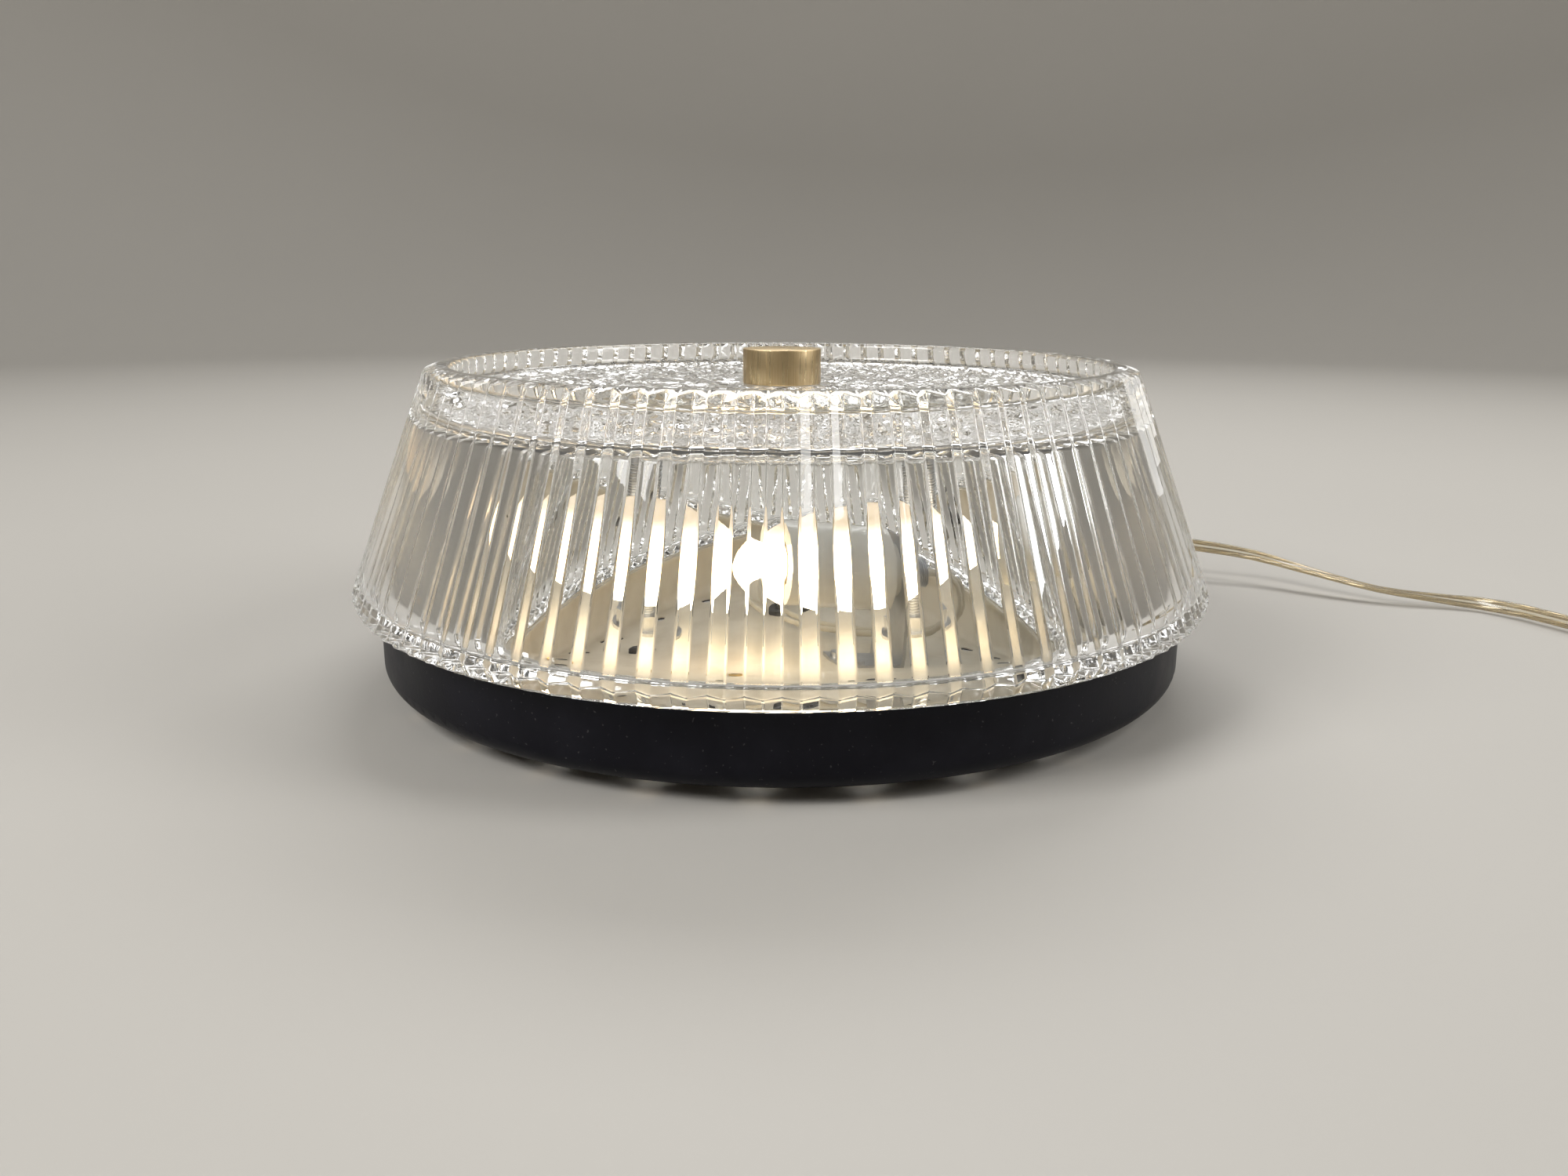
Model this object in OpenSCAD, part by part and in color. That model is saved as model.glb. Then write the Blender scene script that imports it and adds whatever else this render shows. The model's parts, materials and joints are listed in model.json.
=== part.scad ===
// Flush mount ceiling light: ribbed glass shade on a round pan, held by one cap nut.
// It stands on its ceiling side. Millimetres, +Z runs from the ceiling side through the cap nut.

/* [Pan] */
// how far the pan's wall stands inside the widest rib of the glass
pan_setback = 8.5; // [7.5:0.1:9.5]
// height of the pan from its back to its seat
pan_h = 22.2; // [20:0.2:30]
// sheet thickness of the pan
pan_t = 1.2; // [0.8:0.1:1.6]
// outside radius of the pan's pressed corner
pan_corner_r = 6; // [3:0.5:8]
// width of the pan's turned-in seat
seat_w = 5.5; // [4:0.5:8]
// height of the stand-offs that hold the pan off the ceiling
spacer_h = 4; // [3.6:0.2:8]
// number of vent holes in the pan's back
vent_count = 26; // [12:1:30]
// radius of one vent hole
vent_r = 4; // [2:0.5:5]

/* [Glass] */
// radius of the glass over its widest rib
glass_r = 140; // [132:1:160]
// height of the glass from its seat to its rim
glass_h = 74.5; // [70:0.5:90]
// height of the outward band under the widest line
band_h = 4.8; // [4:0.2:7]
// how much the radius drops in each millimetre of height
wall_slope = 0.373; // [0.3:0.005:0.42]
// number of pointed ribs round the glass
rib_count = 96; // [48:4:120]
// depth of a rib from crest to groove
rib_depth = 2.8; // [1.5:0.1:3.2]
// thickness of the wall under the grooves
wall_t = 3.5; // [3:0.1:5]
// width of the raised rim round the panel
rim_w = 8; // [6:0.5:12]
// height of the rim over the panel
rim_rise = 7.5; // [5:0.5:9]
// thickness of the panel
panel_t = 7; // [5:0.5:8]
// radius of the panel's centre hole
panel_hole_r = 6; // [5.5:0.1:8]
// thickness of the soft ring under the glass
gasket_t = 0.8; // [0.5:0.1:2]

/* [Rod and nut] */
// radius of the threaded centre rod
rod_r = 4.95; // [4:0.05:5.2]
// radial play between a thread and its nut
thread_play = 0.05; // [0.02:0.01:0.1]
// width across flats of the rod's two nuts
rod_nut_af = 14; // [13:0.5:17]
// height of the nut above the pan's floor
rod_nut_h = 5; // [3:0.5:8]
// height of the thin nut behind the pan
rod_low_nut_h = 3; // [2:0.2:3.2]
// radius of the cap nut
cap_r = 12.85; // [11:0.05:16]
// height of the cap nut
cap_h = 10.4; // [9:0.1:16]
// bevel round the cap nut's top
cap_bevel = 0.6; // [0.2:0.1:1.5]
// thickness of the cap nut's closed top
cap_top_t = 2.4; // [1.5:0.1:4]
// radius of the washer under the cap nut
washer_r = 11.5; // [8.5:0.5:12.5]
// thickness of the washer under the cap nut
washer_t = 0.8; // [0.5:0.1:2]

/* [Lampholder] */
// distance of the bulb's axis in front of the rod
holder_off = 28; // [27:0.5:40]
// height of the bulb's axis over the ceiling side
holder_z = 40; // [34:0.5:46]
// place of the lampholder's mouth along the bulb's axis
holder_x = 30; // [24:0.5:36]
// radius of the lampholder's body
holder_r = 14; // [12.5:0.5:18]
// depth of the lampholder's socket
socket_d = 26.5; // [26:0.5:30]
// thickness of the wall behind the socket
holder_back_t = 7; // [6:0.5:10]
// length of the lampholder's narrow neck
neck_l = 5; // [3:0.5:8]
// radius of the lampholder's narrow neck
neck_r = 9; // [7.5:0.5:11]
// thickness of the threaded shell
shell_t = 0.8; // [0.5:0.1:1]
// radius of the hollow nipple that holds the lampholder
nipple_r = 5; // [4.5:0.1:6]
// bore radius of the hollow nipple
nipple_bore_r = 3.6; // [3.4:0.1:4]
// sheet thickness of the lampholder's bracket
bracket_t = 1.5; // [1:0.1:2.5]
// width of the bracket
bracket_w = 24; // [20:1:30]
// length of the bracket's foot
bracket_foot = 20; // [16:1:28]

/* [Bulb] */
// radius of the bulb's screw cap over its thread
bulb_cap_r = 6.95; // [6.5:0.05:7]
// length of the bulb's screw cap
bulb_cap_l = 21; // [18:0.5:22]
// largest radius of the bulb's glass
bulb_r = 17.5; // [14:0.5:20]
// length of the bulb's glass in front of the lampholder
bulb_l = 78; // [60:1:85]
// glass thickness of the bulb
bulb_t = 0.8; // [0.5:0.1:1.2]

/* [Wiring] */
// direction in which the cord leaves the pan
exit_angle = 45; // [40:1:50]
// height of the cord's exit over the pan's back
exit_rise = 10; // [9:0.5:12]
// width of the flat two-core cord
cord_w = 5.2; // [4.4:0.1:6]
// thickness of the flat two-core cord
cord_t = 2.6; // [2.2:0.1:3]
// radius of the cord sleeve's neck in the pan's wall
sleeve_neck_r = 5; // [4:0.5:6]
// length of the cord sleeve's tapered tail
sleeve_l = 22; // [20:1:40]
// radius of one inner wire
wire_r = 1.1; // [0.8:0.1:1.2]
// distance between the two ceiling screw holes
fixing_pitch = 160; // [140:5:180]
// radius of a ceiling screw hole
fixing_r = 2.6; // [2:0.1:3.5]
// bore radius of the grommet for the ceiling cable
entry_r = 5; // [3:0.5:7]

/* [Coil and plug] */
// outer radius of the put-away coil at its middle line
coil_r = 36; // [34:1:44]
// degrees of winding in the whole coil
coil_turn = 2675; // [1955:360:3035]
// clear space between neighbouring turns
coil_gap = 0.5; // [0.45:0.05:1]
// thickness of the tie round the coil
tie_t = 0.6; // [0.4:0.1:1]
// width of the tie round the coil
tie_w = 8; // [5:1:12]
// thickness of the plug's flat body
plug_t = 13.7; // [12:0.1:16]
// width of the plug's flat body
plug_w = 35; // [30:1:40]
// length of the plug's body
plug_l = 36; // [30:1:45]
// distance between the plug's two pins
pin_pitch = 18.6; // [17:0.1:19]
// radius of a plug pin
pin_r = 2; // [1.8:0.1:2.4]
// length of a plug pin
pin_l = 19; // [17:0.5:20]

/* [Hidden] */
$fn = 64;

// general fits
cut = 1;
free_play = 0.1;
part_gap = 0.2;

// levels up the axis
pan_z = spacer_h;
exit_z = pan_z + exit_rise;
floor_z = pan_z + pan_t;
pan_top = pan_z + pan_h;
seat_z = pan_top + gasket_t;
rim_z = seat_z + glass_h;
panel_z = rim_z - rim_rise;
panel_low = panel_z - panel_t;
washer_z = panel_z + part_gap;
cap_z = washer_z + washer_t;
bore_top = cap_z + cap_h - cap_top_t;
rod_top = bore_top - 0.8;
rod_bottom = pan_z - rod_low_nut_h;
rod_washer_r = 10;
rod_washer_t = 1.2;

// radii of the pan
pan_r = glass_r - pan_setback;
pan_in_r = pan_r - pan_t;
seat_in_r = pan_r - seat_w;
mouth_r = pan_r - 3;
vent_ring_r = pan_r - pan_corner_r - vent_r - 4.5;
vent_phase = -95;
spacer_ring_r = 0.7 * pan_r;
spacer_pad_r = 7;
spacer_stem_r = 2.5;
spacer_head_r = 4.2;
spacer_head_t = 1.8;
spacer_phase = 60;
fixing_y = fixing_pitch / 2;
entry_x = -50;
entry_y = 45;
entry_wall = 2;
entry_lip = 2;
entry_lip_t = 1.6;

// profile of the glass
foot_r = glass_r - 4.2;
wide_z = seat_z + band_h;
shoulder_h = 4;
rim_out_r = crest_r(rim_z);
rim_in_r = rim_out_r - rim_w;
recess_fillet = 2.5;
cavity_fillet = 4;
function crest_r(z) = glass_r - wall_slope * (z - wide_z);
function inner_r(z) = crest_r(z) - rib_depth - wall_t;

// fasteners through the pan's floor
screw_r = 1.5;
screw_head_r = 2.9;
screw_head_t = 1.6;
floor_nut_af = 5.5;
floor_nut_h = 2.2;
screw_low = pan_z - floor_nut_h - 0.6;
earth_at = [-40, -58];

// lampholder, measured back from its mouth
holder_y = -holder_off;
socket_r = bulb_cap_r + 0.4 + shell_t + free_play;
holder_l = socket_d + holder_back_t;
holder_end = holder_l + neck_l;
contact_t = 0.8;
nipple_tail = 9;
nipple_l = neck_l + bracket_t + nipple_tail;
nipple_nut_af = 14;
nipple_nut_h = 3;
bracket_x = holder_x + holder_end;
foot_x = bracket_x + bracket_t - bracket_foot;
bracket_screw_x = foot_x + 5;
bracket_screw_y = bracket_w / 4;

// bulb, measured out from the lampholder's mouth
tip_t = 1.4;
tip_r = 2.4;
insulator_t = 1.8;
bulb_cap_low = -bulb_cap_l;
insulator_low = bulb_cap_low - insulator_t;
tip_low = insulator_low - tip_t;
thread_rings = 4;
thread_step = 3.4;
thread_depth = 0.6;
bulb_neck_r = bulb_cap_r - 1.6;
bulb_steps = 16;
stem_r = 3.2;
stem_top_r = 1.6;
stem_l = 0.36 * bulb_l;
filament_r = 0.5;
filament_w = 12;
filament_rise = 8;

// wiring inside the pan, along the cord's exit direction
terminal_l = 20;
terminal_w = 18;
terminal_h = exit_z - floor_z + 6;
terminal_pole = 5;
terminal_screw_r = 1.9;
terminal_screw_t = 1.2;
clamp_l = 10;
clamp_x = vent_ring_r - vent_r - clamp_l;
terminal_gap = 11;
terminal_x = clamp_x - terminal_gap - terminal_l;
clamp_w = 17;
clamp_screw_y = 5.6;
clamp_bar_t = 3;
clamp_low = exit_z - cord_t / 2;
clamp_high = exit_z + cord_t / 2;
sleeve_lip_r = 7;
sleeve_in_r = 6.2;
sleeve_lip_t = 2;
sleeve_root_r = 5.4;
sleeve_tip_r = 3.6;
// the inner lip sits where the pan's wall turns into its floor
bend_r = pan_corner_r - pan_t;
sleeve_dip = max(0, floor_z + bend_r - exit_z + sleeve_in_r);
sleeve_in = min(pan_in_r - bend_r + sqrt(bend_r * bend_r - sleeve_dip * sleeve_dip),
    sqrt(pan_in_r * pan_in_r - sleeve_in_r * sleeve_in_r)) - free_play;
sleeve_out = pan_r + free_play;
sleeve_end = sleeve_out + sleeve_lip_t + sleeve_l;
exit_dir = [cos(exit_angle), sin(exit_angle), 0];

// free cord: hand-chosen points from the sleeve to the coil, and the turn of its flat side
cord_from = sleeve_end * exit_dir + [0, 0, exit_z];
cord_points = [
    [118, 118, 14], [132, 128, 14.4], [149, 130, 14.6], [168, 123, 14.5], [187, 114, 14],
    [208, 103, 12], [227, 84, 8.6], [246, 68, 5.4], [268, 59, 3.6], [280, 53, 3.2],
    [288, 43, 3.3], [293, 33, 3.4]];
cord_turns = [0, 0, 20, 45, 65, 70, 45, 10, 0, 30, 60, 80, 90, 90];

// coil on the table just past the lead, wound inwards on one layer and outwards on the next
coil_at = [350, -10];
coil_phase = 205;
coil_low = tie_t + 0.25 + cord_w / 2;
coil_rise = cord_w + coil_gap;
coil_step = cord_t + coil_gap;
coil_rings = 24;
coil_back = coil_turn / 2;
run_in = cord_w;
run_out = 32;
plug_z = plug_t / 2;
coil_dir = [-sin(coil_phase), cos(coil_phase), 0];
coil_from = coil_mid(0) - run_in * coil_dir;
end_angle = coil_phase + coil_turn;
end_dir = [-sin(end_angle), cos(end_angle), 0];
plug_at = [coil_mid(coil_turn)[0], coil_mid(coil_turn)[1], plug_z] + run_out * end_dir;
tie_angle = coil_phase - 90;
tie_in = coil_r - coil_step * coil_back / 360 - cord_t / 2 - 0.9;
tie_out = coil_r + cord_t / 2 + 0.6;
tie_top = coil_low + coil_rise + cord_w / 2 + 0.3;
plug_tail_l = 20;
plug_tail_r = 4.5;
plug_tip_r = 3.2;
plug_neck_w = 14;

// smooth curve through points p: part k, share t
function along(p, k, t) =
    let (a = p[max(k - 1, 0)], b = p[k], c = p[k + 1], d = p[min(k + 2, len(p) - 1)])
    b + t * (c - a) / 2 + t * t * (a - 2.5 * b + 2 * c - d / 2) + t * t * t * (1.5 * (b - c) + (d - a) / 2);
function smooth(p, n) =
    concat([for (k = [0 : len(p) - 2], i = [0 : n - 1]) along(p, k, i / n)], [p[len(p) - 1]]);
function unit(v) = v / norm(v);
// heading of a path at point i, with set headings at its two ends
function heading(p, i, first, last) =
    i == 0 ? first : i == len(p) - 1 ? last : unit(p[i + 1] - p[i - 1]);
// outline of a flat cord or round wire, n points
function outline(w, t, n) = [for (i = [0 : n - 1]) [w / 2 * cos(360 * i / n), t / 2 * sin(360 * i / n)]];
// one ring of a tube: centre c, heading h, outline o turned by q degrees from lying flat
function tube_ring(c, h, o, q) =
    let (s = unit(abs(h[2]) > 0.9 ? cross([1, 0, 0], h) : cross([0, 0, 1], h)), v = cross(h, s))
    [for (e = o) c + (e[0] * cos(q) - e[1] * sin(q)) * s + (e[0] * sin(q) + e[1] * cos(q)) * v];
function tube_rings(p, o, q, first, last) =
    [for (i = [0 : len(p) - 1]) tube_ring(p[i], heading(p, i, first, last), o, q[i])];

// closed skin over rings of equal length
module skin(rings) {
    n = len(rings[0]);
    m = len(rings);
    sides = [for (j = [0 : m - 2], i = [0 : n - 1])
        let (a = j * n + i, b = j * n + (i + 1) % n)
        each [[a, a + n, b + n], [a, b + n, b]]];
    low = [for (i = [0 : n - 1]) [m * n, i, (i + 1) % n]];
    high = [for (i = [0 : n - 1]) [m * n + 1, (m - 1) * n + (i + 1) % n, (m - 1) * n + i]];
    middles = [middle(rings[0]), middle(rings[m - 1])];
    polyhedron(concat([for (r = rings) each r], middles), concat(sides, low, high));
}
function middle(r) = [for (k = [0 : 2]) sum([for (e = r) e[k]]) / len(r)];
function sum(v, i = 0) = i < len(v) ? v[i] + sum(v, i + 1) : 0;

// flat outline with one rounded lower corner, turned about the axis by its caller
module rounded_corner(r, low, high, fillet) {
    translate([0, low]) square([r - fillet, high - low]);
    translate([0, low + fillet]) square([r, high - low - fillet]);
    translate([r - fillet, low + fillet]) circle(fillet);
}
module ring(r, bore, h) {
    difference() {
        cylinder(r = r, h = h);
        translate([0, 0, -cut]) cylinder(r = bore, h = h + 2 * cut);
    }
}
module hex_nut(af, bore, h) {
    difference() {
        cylinder(d = af / cos(30), h = h, $fn = 6);
        translate([0, 0, -cut]) cylinder(r = bore, h = h + 2 * cut);
    }
}
// pan-head screw from its seat at z down through the floor
module floor_screw(z) {
    translate([0, 0, screw_low]) cylinder(r = screw_r, h = z - screw_low);
    translate([0, 0, z]) cylinder(r = screw_head_r, h = screw_head_t);
}
module at_exit() {
    rotate([0, 0, exit_angle]) children();
}
module at_exit_axis() {
    at_exit() translate([0, 0, exit_z]) rotate([0, 90, 0]) children();
}
// places along the bulb's axis, +Z local points out of the lampholder
module at_holder(z = 0) {
    translate([holder_x, holder_y, holder_z]) rotate([0, -90, 0]) translate([0, 0, z]) children();
}
module at_bracket_screws() {
    for (s = [-1, 1]) translate([bracket_screw_x, holder_y + s * bracket_screw_y, 0]) children();
}
module at_clamp_screws() {
    at_exit() for (s = [-1, 1]) translate([clamp_x + clamp_l / 2, s * clamp_screw_y, 0]) children();
}
module at_terminal_fixing() {
    at_exit() translate([terminal_x + terminal_l / 2, 0, 0]) children();
}
module at_floor_screws() {
    at_bracket_screws() children();
    at_clamp_screws() children();
    at_terminal_fixing() children();
    translate([earth_at[0], earth_at[1], 0]) children();
}
module at_spacers() {
    for (k = [0 : 2]) rotate([0, 0, spacer_phase + 120 * k]) translate([spacer_ring_r, 0, 0]) children();
}

// pressed steel pan with vents, fixing holes and a turned-in seat
module base_pan() {
    hole = pan_t + 2 * cut;
    color([0.05, 0.05, 0.06]) difference() {
        rotate_extrude() difference() {
            rounded_corner(pan_r, pan_z, pan_top, pan_corner_r);
            rounded_corner(pan_in_r, floor_z, pan_top - pan_t, pan_corner_r - pan_t);
            translate([0, pan_top - pan_t - cut]) square([seat_in_r, pan_t + 2 * cut]);
        }
        translate([0, 0, pan_z - cut]) {
            for (k = [0 : vent_count - 1])
                rotate([0, 0, vent_phase + 360 * k / vent_count]) translate([vent_ring_r, 0, 0])
                    cylinder(r = vent_r, h = hole);
            cylinder(r = rod_r + thread_play, h = hole);
            for (s = [-1, 1]) translate([0, s * fixing_y, 0]) cylinder(r = fixing_r, h = hole);
            translate([entry_x, entry_y, 0]) cylinder(r = entry_r + entry_wall + free_play, h = hole);
            at_spacers() cylinder(r = spacer_stem_r + free_play, h = hole);
            at_floor_screws() cylinder(r = screw_r + free_play, h = hole);
        }
        at_exit_axis() translate([0, 0, sleeve_in - sleeve_lip_t])
            cylinder(r = sleeve_neck_r + free_play, h = sleeve_out - sleeve_in + 2 * sleeve_lip_t);
    }
}
// moulded stand-offs pushed through the pan's back
module ceiling_spacers() {
    color([0.1, 0.1, 0.1]) at_spacers() {
        cylinder(r = spacer_pad_r, h = spacer_h);
        cylinder(r = spacer_stem_r, h = floor_z + spacer_head_t);
        translate([0, 0, floor_z]) cylinder(r = spacer_head_r, h = spacer_head_t);
    }
}
// soft ring between pan and glass
module seat_gasket() {
    color([0.82, 0.8, 0.74]) translate([0, 0, pan_top]) ring(pan_r - part_gap, mouth_r, gasket_t - free_play);
}
// threaded rod up the middle
module centre_rod() {
    color([0.7, 0.68, 0.6]) translate([0, 0, rod_bottom]) cylinder(r = rod_r, h = rod_top - rod_bottom);
}
// nuts that hold the rod to the pan's floor
module rod_nuts() {
    color([0.7, 0.7, 0.72]) {
        translate([0, 0, rod_bottom]) hex_nut(rod_nut_af, rod_r + thread_play, rod_low_nut_h);
        translate([0, 0, floor_z + rod_washer_t]) hex_nut(rod_nut_af, rod_r + thread_play, rod_nut_h);
    }
}
// washer on the pan's floor
module rod_washer() {
    color([0.72, 0.72, 0.74]) translate([0, 0, floor_z])
        ring(rod_washer_r, rod_r + thread_play, rod_washer_t);
}
// angle bracket that carries the lampholder
module holder_bracket() {
    color([0.72, 0.72, 0.74]) difference() {
        translate([0, holder_y - bracket_w / 2, 0]) {
            translate([bracket_x, 0, floor_z]) cube([bracket_t, bracket_w, holder_z + bracket_w / 2 - floor_z]);
            translate([foot_x, 0, floor_z]) cube([bracket_foot, bracket_w, bracket_t]);
        }
        at_holder(-holder_end - bracket_t - cut)
            cylinder(r = nipple_r + free_play, h = bracket_t + 2 * cut);
        translate([0, 0, floor_z - cut]) at_bracket_screws()
            cylinder(r = screw_r + free_play, h = bracket_t + 2 * cut);
    }
}
// screws of the bracket's foot
module bracket_screws() {
    color([0.75, 0.75, 0.77]) at_bracket_screws() floor_screw(floor_z + bracket_t);
}
// moulded body of the lampholder
module lampholder_body() {
    color([0.93, 0.91, 0.86]) difference() {
        union() {
            at_holder(-holder_l) cylinder(r = holder_r, h = holder_l);
            at_holder(-holder_end) cylinder(r = neck_r, h = holder_end);
        }
        at_holder(-socket_d) cylinder(r = socket_r, h = socket_d + cut);
        at_holder(-holder_end - cut)
            cylinder(r = nipple_r + thread_play, h = neck_l + cut + holder_back_t / 2);
    }
}
// threaded shell in the socket
module lampholder_shell() {
    color([0.8, 0.62, 0.3]) at_holder(-bulb_cap_l)
        ring(socket_r - free_play, socket_r - free_play - shell_t, bulb_cap_l - 2);
}
// spring contact at the socket's bottom
module centre_contact() {
    color([0.8, 0.6, 0.32]) at_holder(-socket_d) {
        translate([-socket_r + 1, -2.2, 0]) cube([2 * socket_r - 2, 4.4, contact_t]);
        cylinder(r = tip_r, h = socket_d + tip_low - part_gap);
    }
}
// hollow threaded nipple through the bracket
module holder_nipple() {
    color([0.78, 0.76, 0.7]) at_holder(-holder_end + neck_l - nipple_l)
        ring(nipple_r, nipple_bore_r, nipple_l);
}
// nut behind the bracket
module nipple_nut() {
    color([0.74, 0.74, 0.76]) at_holder(-holder_end - bracket_t - nipple_nut_h)
        hex_nut(nipple_nut_af, nipple_r + thread_play, nipple_nut_h);
}
// two-pole terminal block
module terminal_block() {
    color([0.92, 0.9, 0.85]) at_exit() difference() {
        translate([terminal_x, -terminal_w / 2, floor_z]) cube([terminal_l, terminal_w, terminal_h]);
        for (x = [0.25, 0.75], s = [-1, 1])
            translate([terminal_x + x * terminal_l, s * terminal_pole, floor_z + terminal_h - 3])
                cylinder(r = terminal_screw_r + free_play, h = 3 + cut);
        translate([terminal_x + terminal_l / 2, 0, floor_z - cut])
            cylinder(r = screw_r + free_play, h = terminal_h + 2 * cut);
        translate([terminal_x + terminal_l / 2, 0, exit_z - 2])
            cylinder(r = screw_head_r + free_play, h = terminal_h);
    }
}
// clamping screws of the terminal block
module terminal_screws() {
    color([0.8, 0.72, 0.45]) at_exit() for (x = [0.25, 0.75], s = [-1, 1])
        translate([terminal_x + x * terminal_l, s * terminal_pole, floor_z + terminal_h - 3])
            cylinder(r = terminal_screw_r, h = terminal_screw_t);
}
// screw that holds the terminal block down
module terminal_fixing() {
    color([0.75, 0.75, 0.77]) at_terminal_fixing() floor_screw(exit_z - 2);
}
// wires in pale sleeving from the terminal block to the lampholder
wire_side = 1.4;
wire_reach = 18;
wire_start = 6;
live_bends = [[49, 30, 10], [60, 14, 9], [80, 6, 10], [97, -6, 16], [101, -17, 26], [97, -24, 36]];
neutral_bends = [[41, 32, 10], [52, 10, 9], [76, 0, 10], [91, -13, 16], [95, -24, 26], [92, -29, 36]];
wire_end = [bracket_x - neck_l - holder_back_t / 2, holder_y, holder_z];
wire_mouth = [bracket_x + nipple_l - neck_l + wire_start, holder_y, holder_z];
function wire_path(s, bends) = smooth(concat(
    [exit_at(terminal_x, s * terminal_pole), exit_at(terminal_x - wire_start, s * terminal_pole)], bends,
    [wire_mouth - [0, s * wire_side, 0], wire_end - [-wire_reach, s * wire_side, 0],
    wire_end - [0, s * wire_side, 0]]), 3);
function exit_at(x, y) =
    [x * cos(exit_angle) - y * sin(exit_angle), x * sin(exit_angle) + y * cos(exit_angle), exit_z];
module wire(path) {
    turns = [for (i = path) 0];
    skin(tube_rings(path, outline(2 * wire_r, 2 * wire_r, 8), turns, -exit_dir, [-1, 0, 0]));
}
module wire_live() {
    color([0.8, 0.76, 0.66]) wire(wire_path(-1, live_bends));
}
module wire_neutral() {
    color([0.8, 0.76, 0.66]) wire(wire_path(1, neutral_bends));
}
// tapered sleeve that guards the cord in the pan's wall
module cord_sleeve() {
    color([0.12, 0.12, 0.12]) at_exit_axis() {
        translate([0, 0, sleeve_in - sleeve_lip_t]) cylinder(r = sleeve_in_r, h = sleeve_lip_t);
        translate([0, 0, sleeve_in - sleeve_lip_t])
            cylinder(r = sleeve_neck_r, h = sleeve_out - sleeve_in + 2 * sleeve_lip_t);
        translate([0, 0, sleeve_out]) cylinder(r = sleeve_lip_r, h = sleeve_lip_t);
        translate([0, 0, sleeve_out + sleeve_lip_t])
            cylinder(r1 = sleeve_root_r, r2 = sleeve_tip_r, h = sleeve_l);
    }
}
// cord between the sleeve and the terminal block
module cord_inner() {
    from = terminal_x + terminal_l;
    color([0.85, 0.78, 0.6]) at_exit_axis() translate([0, 0, from])
        linear_extrude(sleeve_in - sleeve_lip_t - from) {
            square([cord_t, cord_w - cord_t], center = true);
            for (s = [-1, 1]) translate([0, s * (cord_w - cord_t) / 2]) circle(d = cord_t);
        }
}
// lower half of the cord clamp
module clamp_block() {
    color([0.15, 0.15, 0.15]) difference() {
        at_exit() translate([clamp_x, -clamp_w / 2, floor_z]) cube([clamp_l, clamp_w, clamp_low - floor_z]);
        translate([0, 0, floor_z - cut]) at_clamp_screws()
            cylinder(r = screw_r + free_play, h = clamp_low - floor_z + 2 * cut);
    }
}
// upper bar of the cord clamp
module clamp_bar() {
    color([0.15, 0.15, 0.15]) difference() {
        at_exit() translate([clamp_x, -clamp_w / 2, clamp_high]) cube([clamp_l, clamp_w, clamp_bar_t]);
        translate([0, 0, clamp_high - cut]) at_clamp_screws()
            cylinder(r = screw_r + free_play, h = clamp_bar_t + 2 * cut);
    }
}
module clamp_screws() {
    color([0.75, 0.75, 0.77]) at_clamp_screws() floor_screw(clamp_high + clamp_bar_t);
}
// nuts on every screw behind the pan's floor
module floor_nuts() {
    color([0.74, 0.74, 0.76]) translate([0, 0, pan_z - floor_nut_h]) at_floor_screws()
        hex_nut(floor_nut_af, screw_r + thread_play, floor_nut_h);
}
module earth_screw() {
    color([0.8, 0.68, 0.35]) translate([earth_at[0], earth_at[1], 0]) floor_screw(floor_z);
}
// grommet for the ceiling cable
module entry_grommet() {
    color([0.1, 0.1, 0.1]) translate([entry_x, entry_y, 0]) {
        translate([0, 0, pan_z - entry_lip_t])
            ring(entry_r + entry_wall, entry_r, pan_t + 2 * entry_lip_t);
        for (z = [pan_z - entry_lip_t, floor_z])
            translate([0, 0, z]) ring(entry_r + entry_wall + entry_lip, entry_r, entry_lip_t);
    }
}

// ribbed outside of the glass: crests and grooves in turn
function rib_ring(crest, groove) = [for (i = [0 : 2 * rib_count - 1])
    let (e = i % 2 == 0 ? crest : groove, a = 180 * i / rib_count)
    [e[0] * cos(a), e[0] * sin(a), e[1]]];
module ribbed_body() {
    crest_z = rim_z - shoulder_h;
    groove_z = rim_z - 0.4 * shoulder_h;
    flat_r = rim_out_r - 0.45 * rim_w;
    skin([
        rib_ring([foot_r, seat_z], [foot_r, seat_z]),
        rib_ring([glass_r - 1.4, seat_z + band_h / 3], [foot_r, seat_z + band_h / 6]),
        rib_ring([glass_r, wide_z], [glass_r - rib_depth, wide_z]),
        rib_ring([crest_r(crest_z), crest_z], [crest_r(groove_z) - rib_depth, groove_z]),
        rib_ring([rim_out_r + 0.1 * shoulder_h, rim_z - 0.35 * shoulder_h],
            [rim_out_r - rib_depth, rim_z - 0.12 * shoulder_h]),
        rib_ring([flat_r, rim_z], [flat_r, rim_z])]);
}
// hollow of the glass, over the flange at its mouth, to the panel's underside
module cavity() {
    turn = 12;
    top = panel_low - cavity_fillet;
    ledge = inner_r(wide_z) - mouth_r;
    rotate_extrude() polygon([
        [0, seat_z - cut], [mouth_r, seat_z - cut], [mouth_r, seat_z + 0.6 * band_h],
        [mouth_r + 0.17 * ledge, wide_z - 0.12 * band_h], [mouth_r + 0.44 * ledge, wide_z - 0.06 * band_h],
        [mouth_r + 0.63 * ledge, wide_z + 0.04 * band_h], [mouth_r + 0.75 * ledge, wide_z + 0.45 * band_h],
        [inner_r(seat_z + turn), seat_z + turn], [inner_r(top), top],
        [inner_r(panel_low) - 0.25 * cavity_fillet, panel_low - 0.35 * cavity_fillet],
        [inner_r(panel_low) - cavity_fillet, panel_low], [0, panel_low]]);
}
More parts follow.
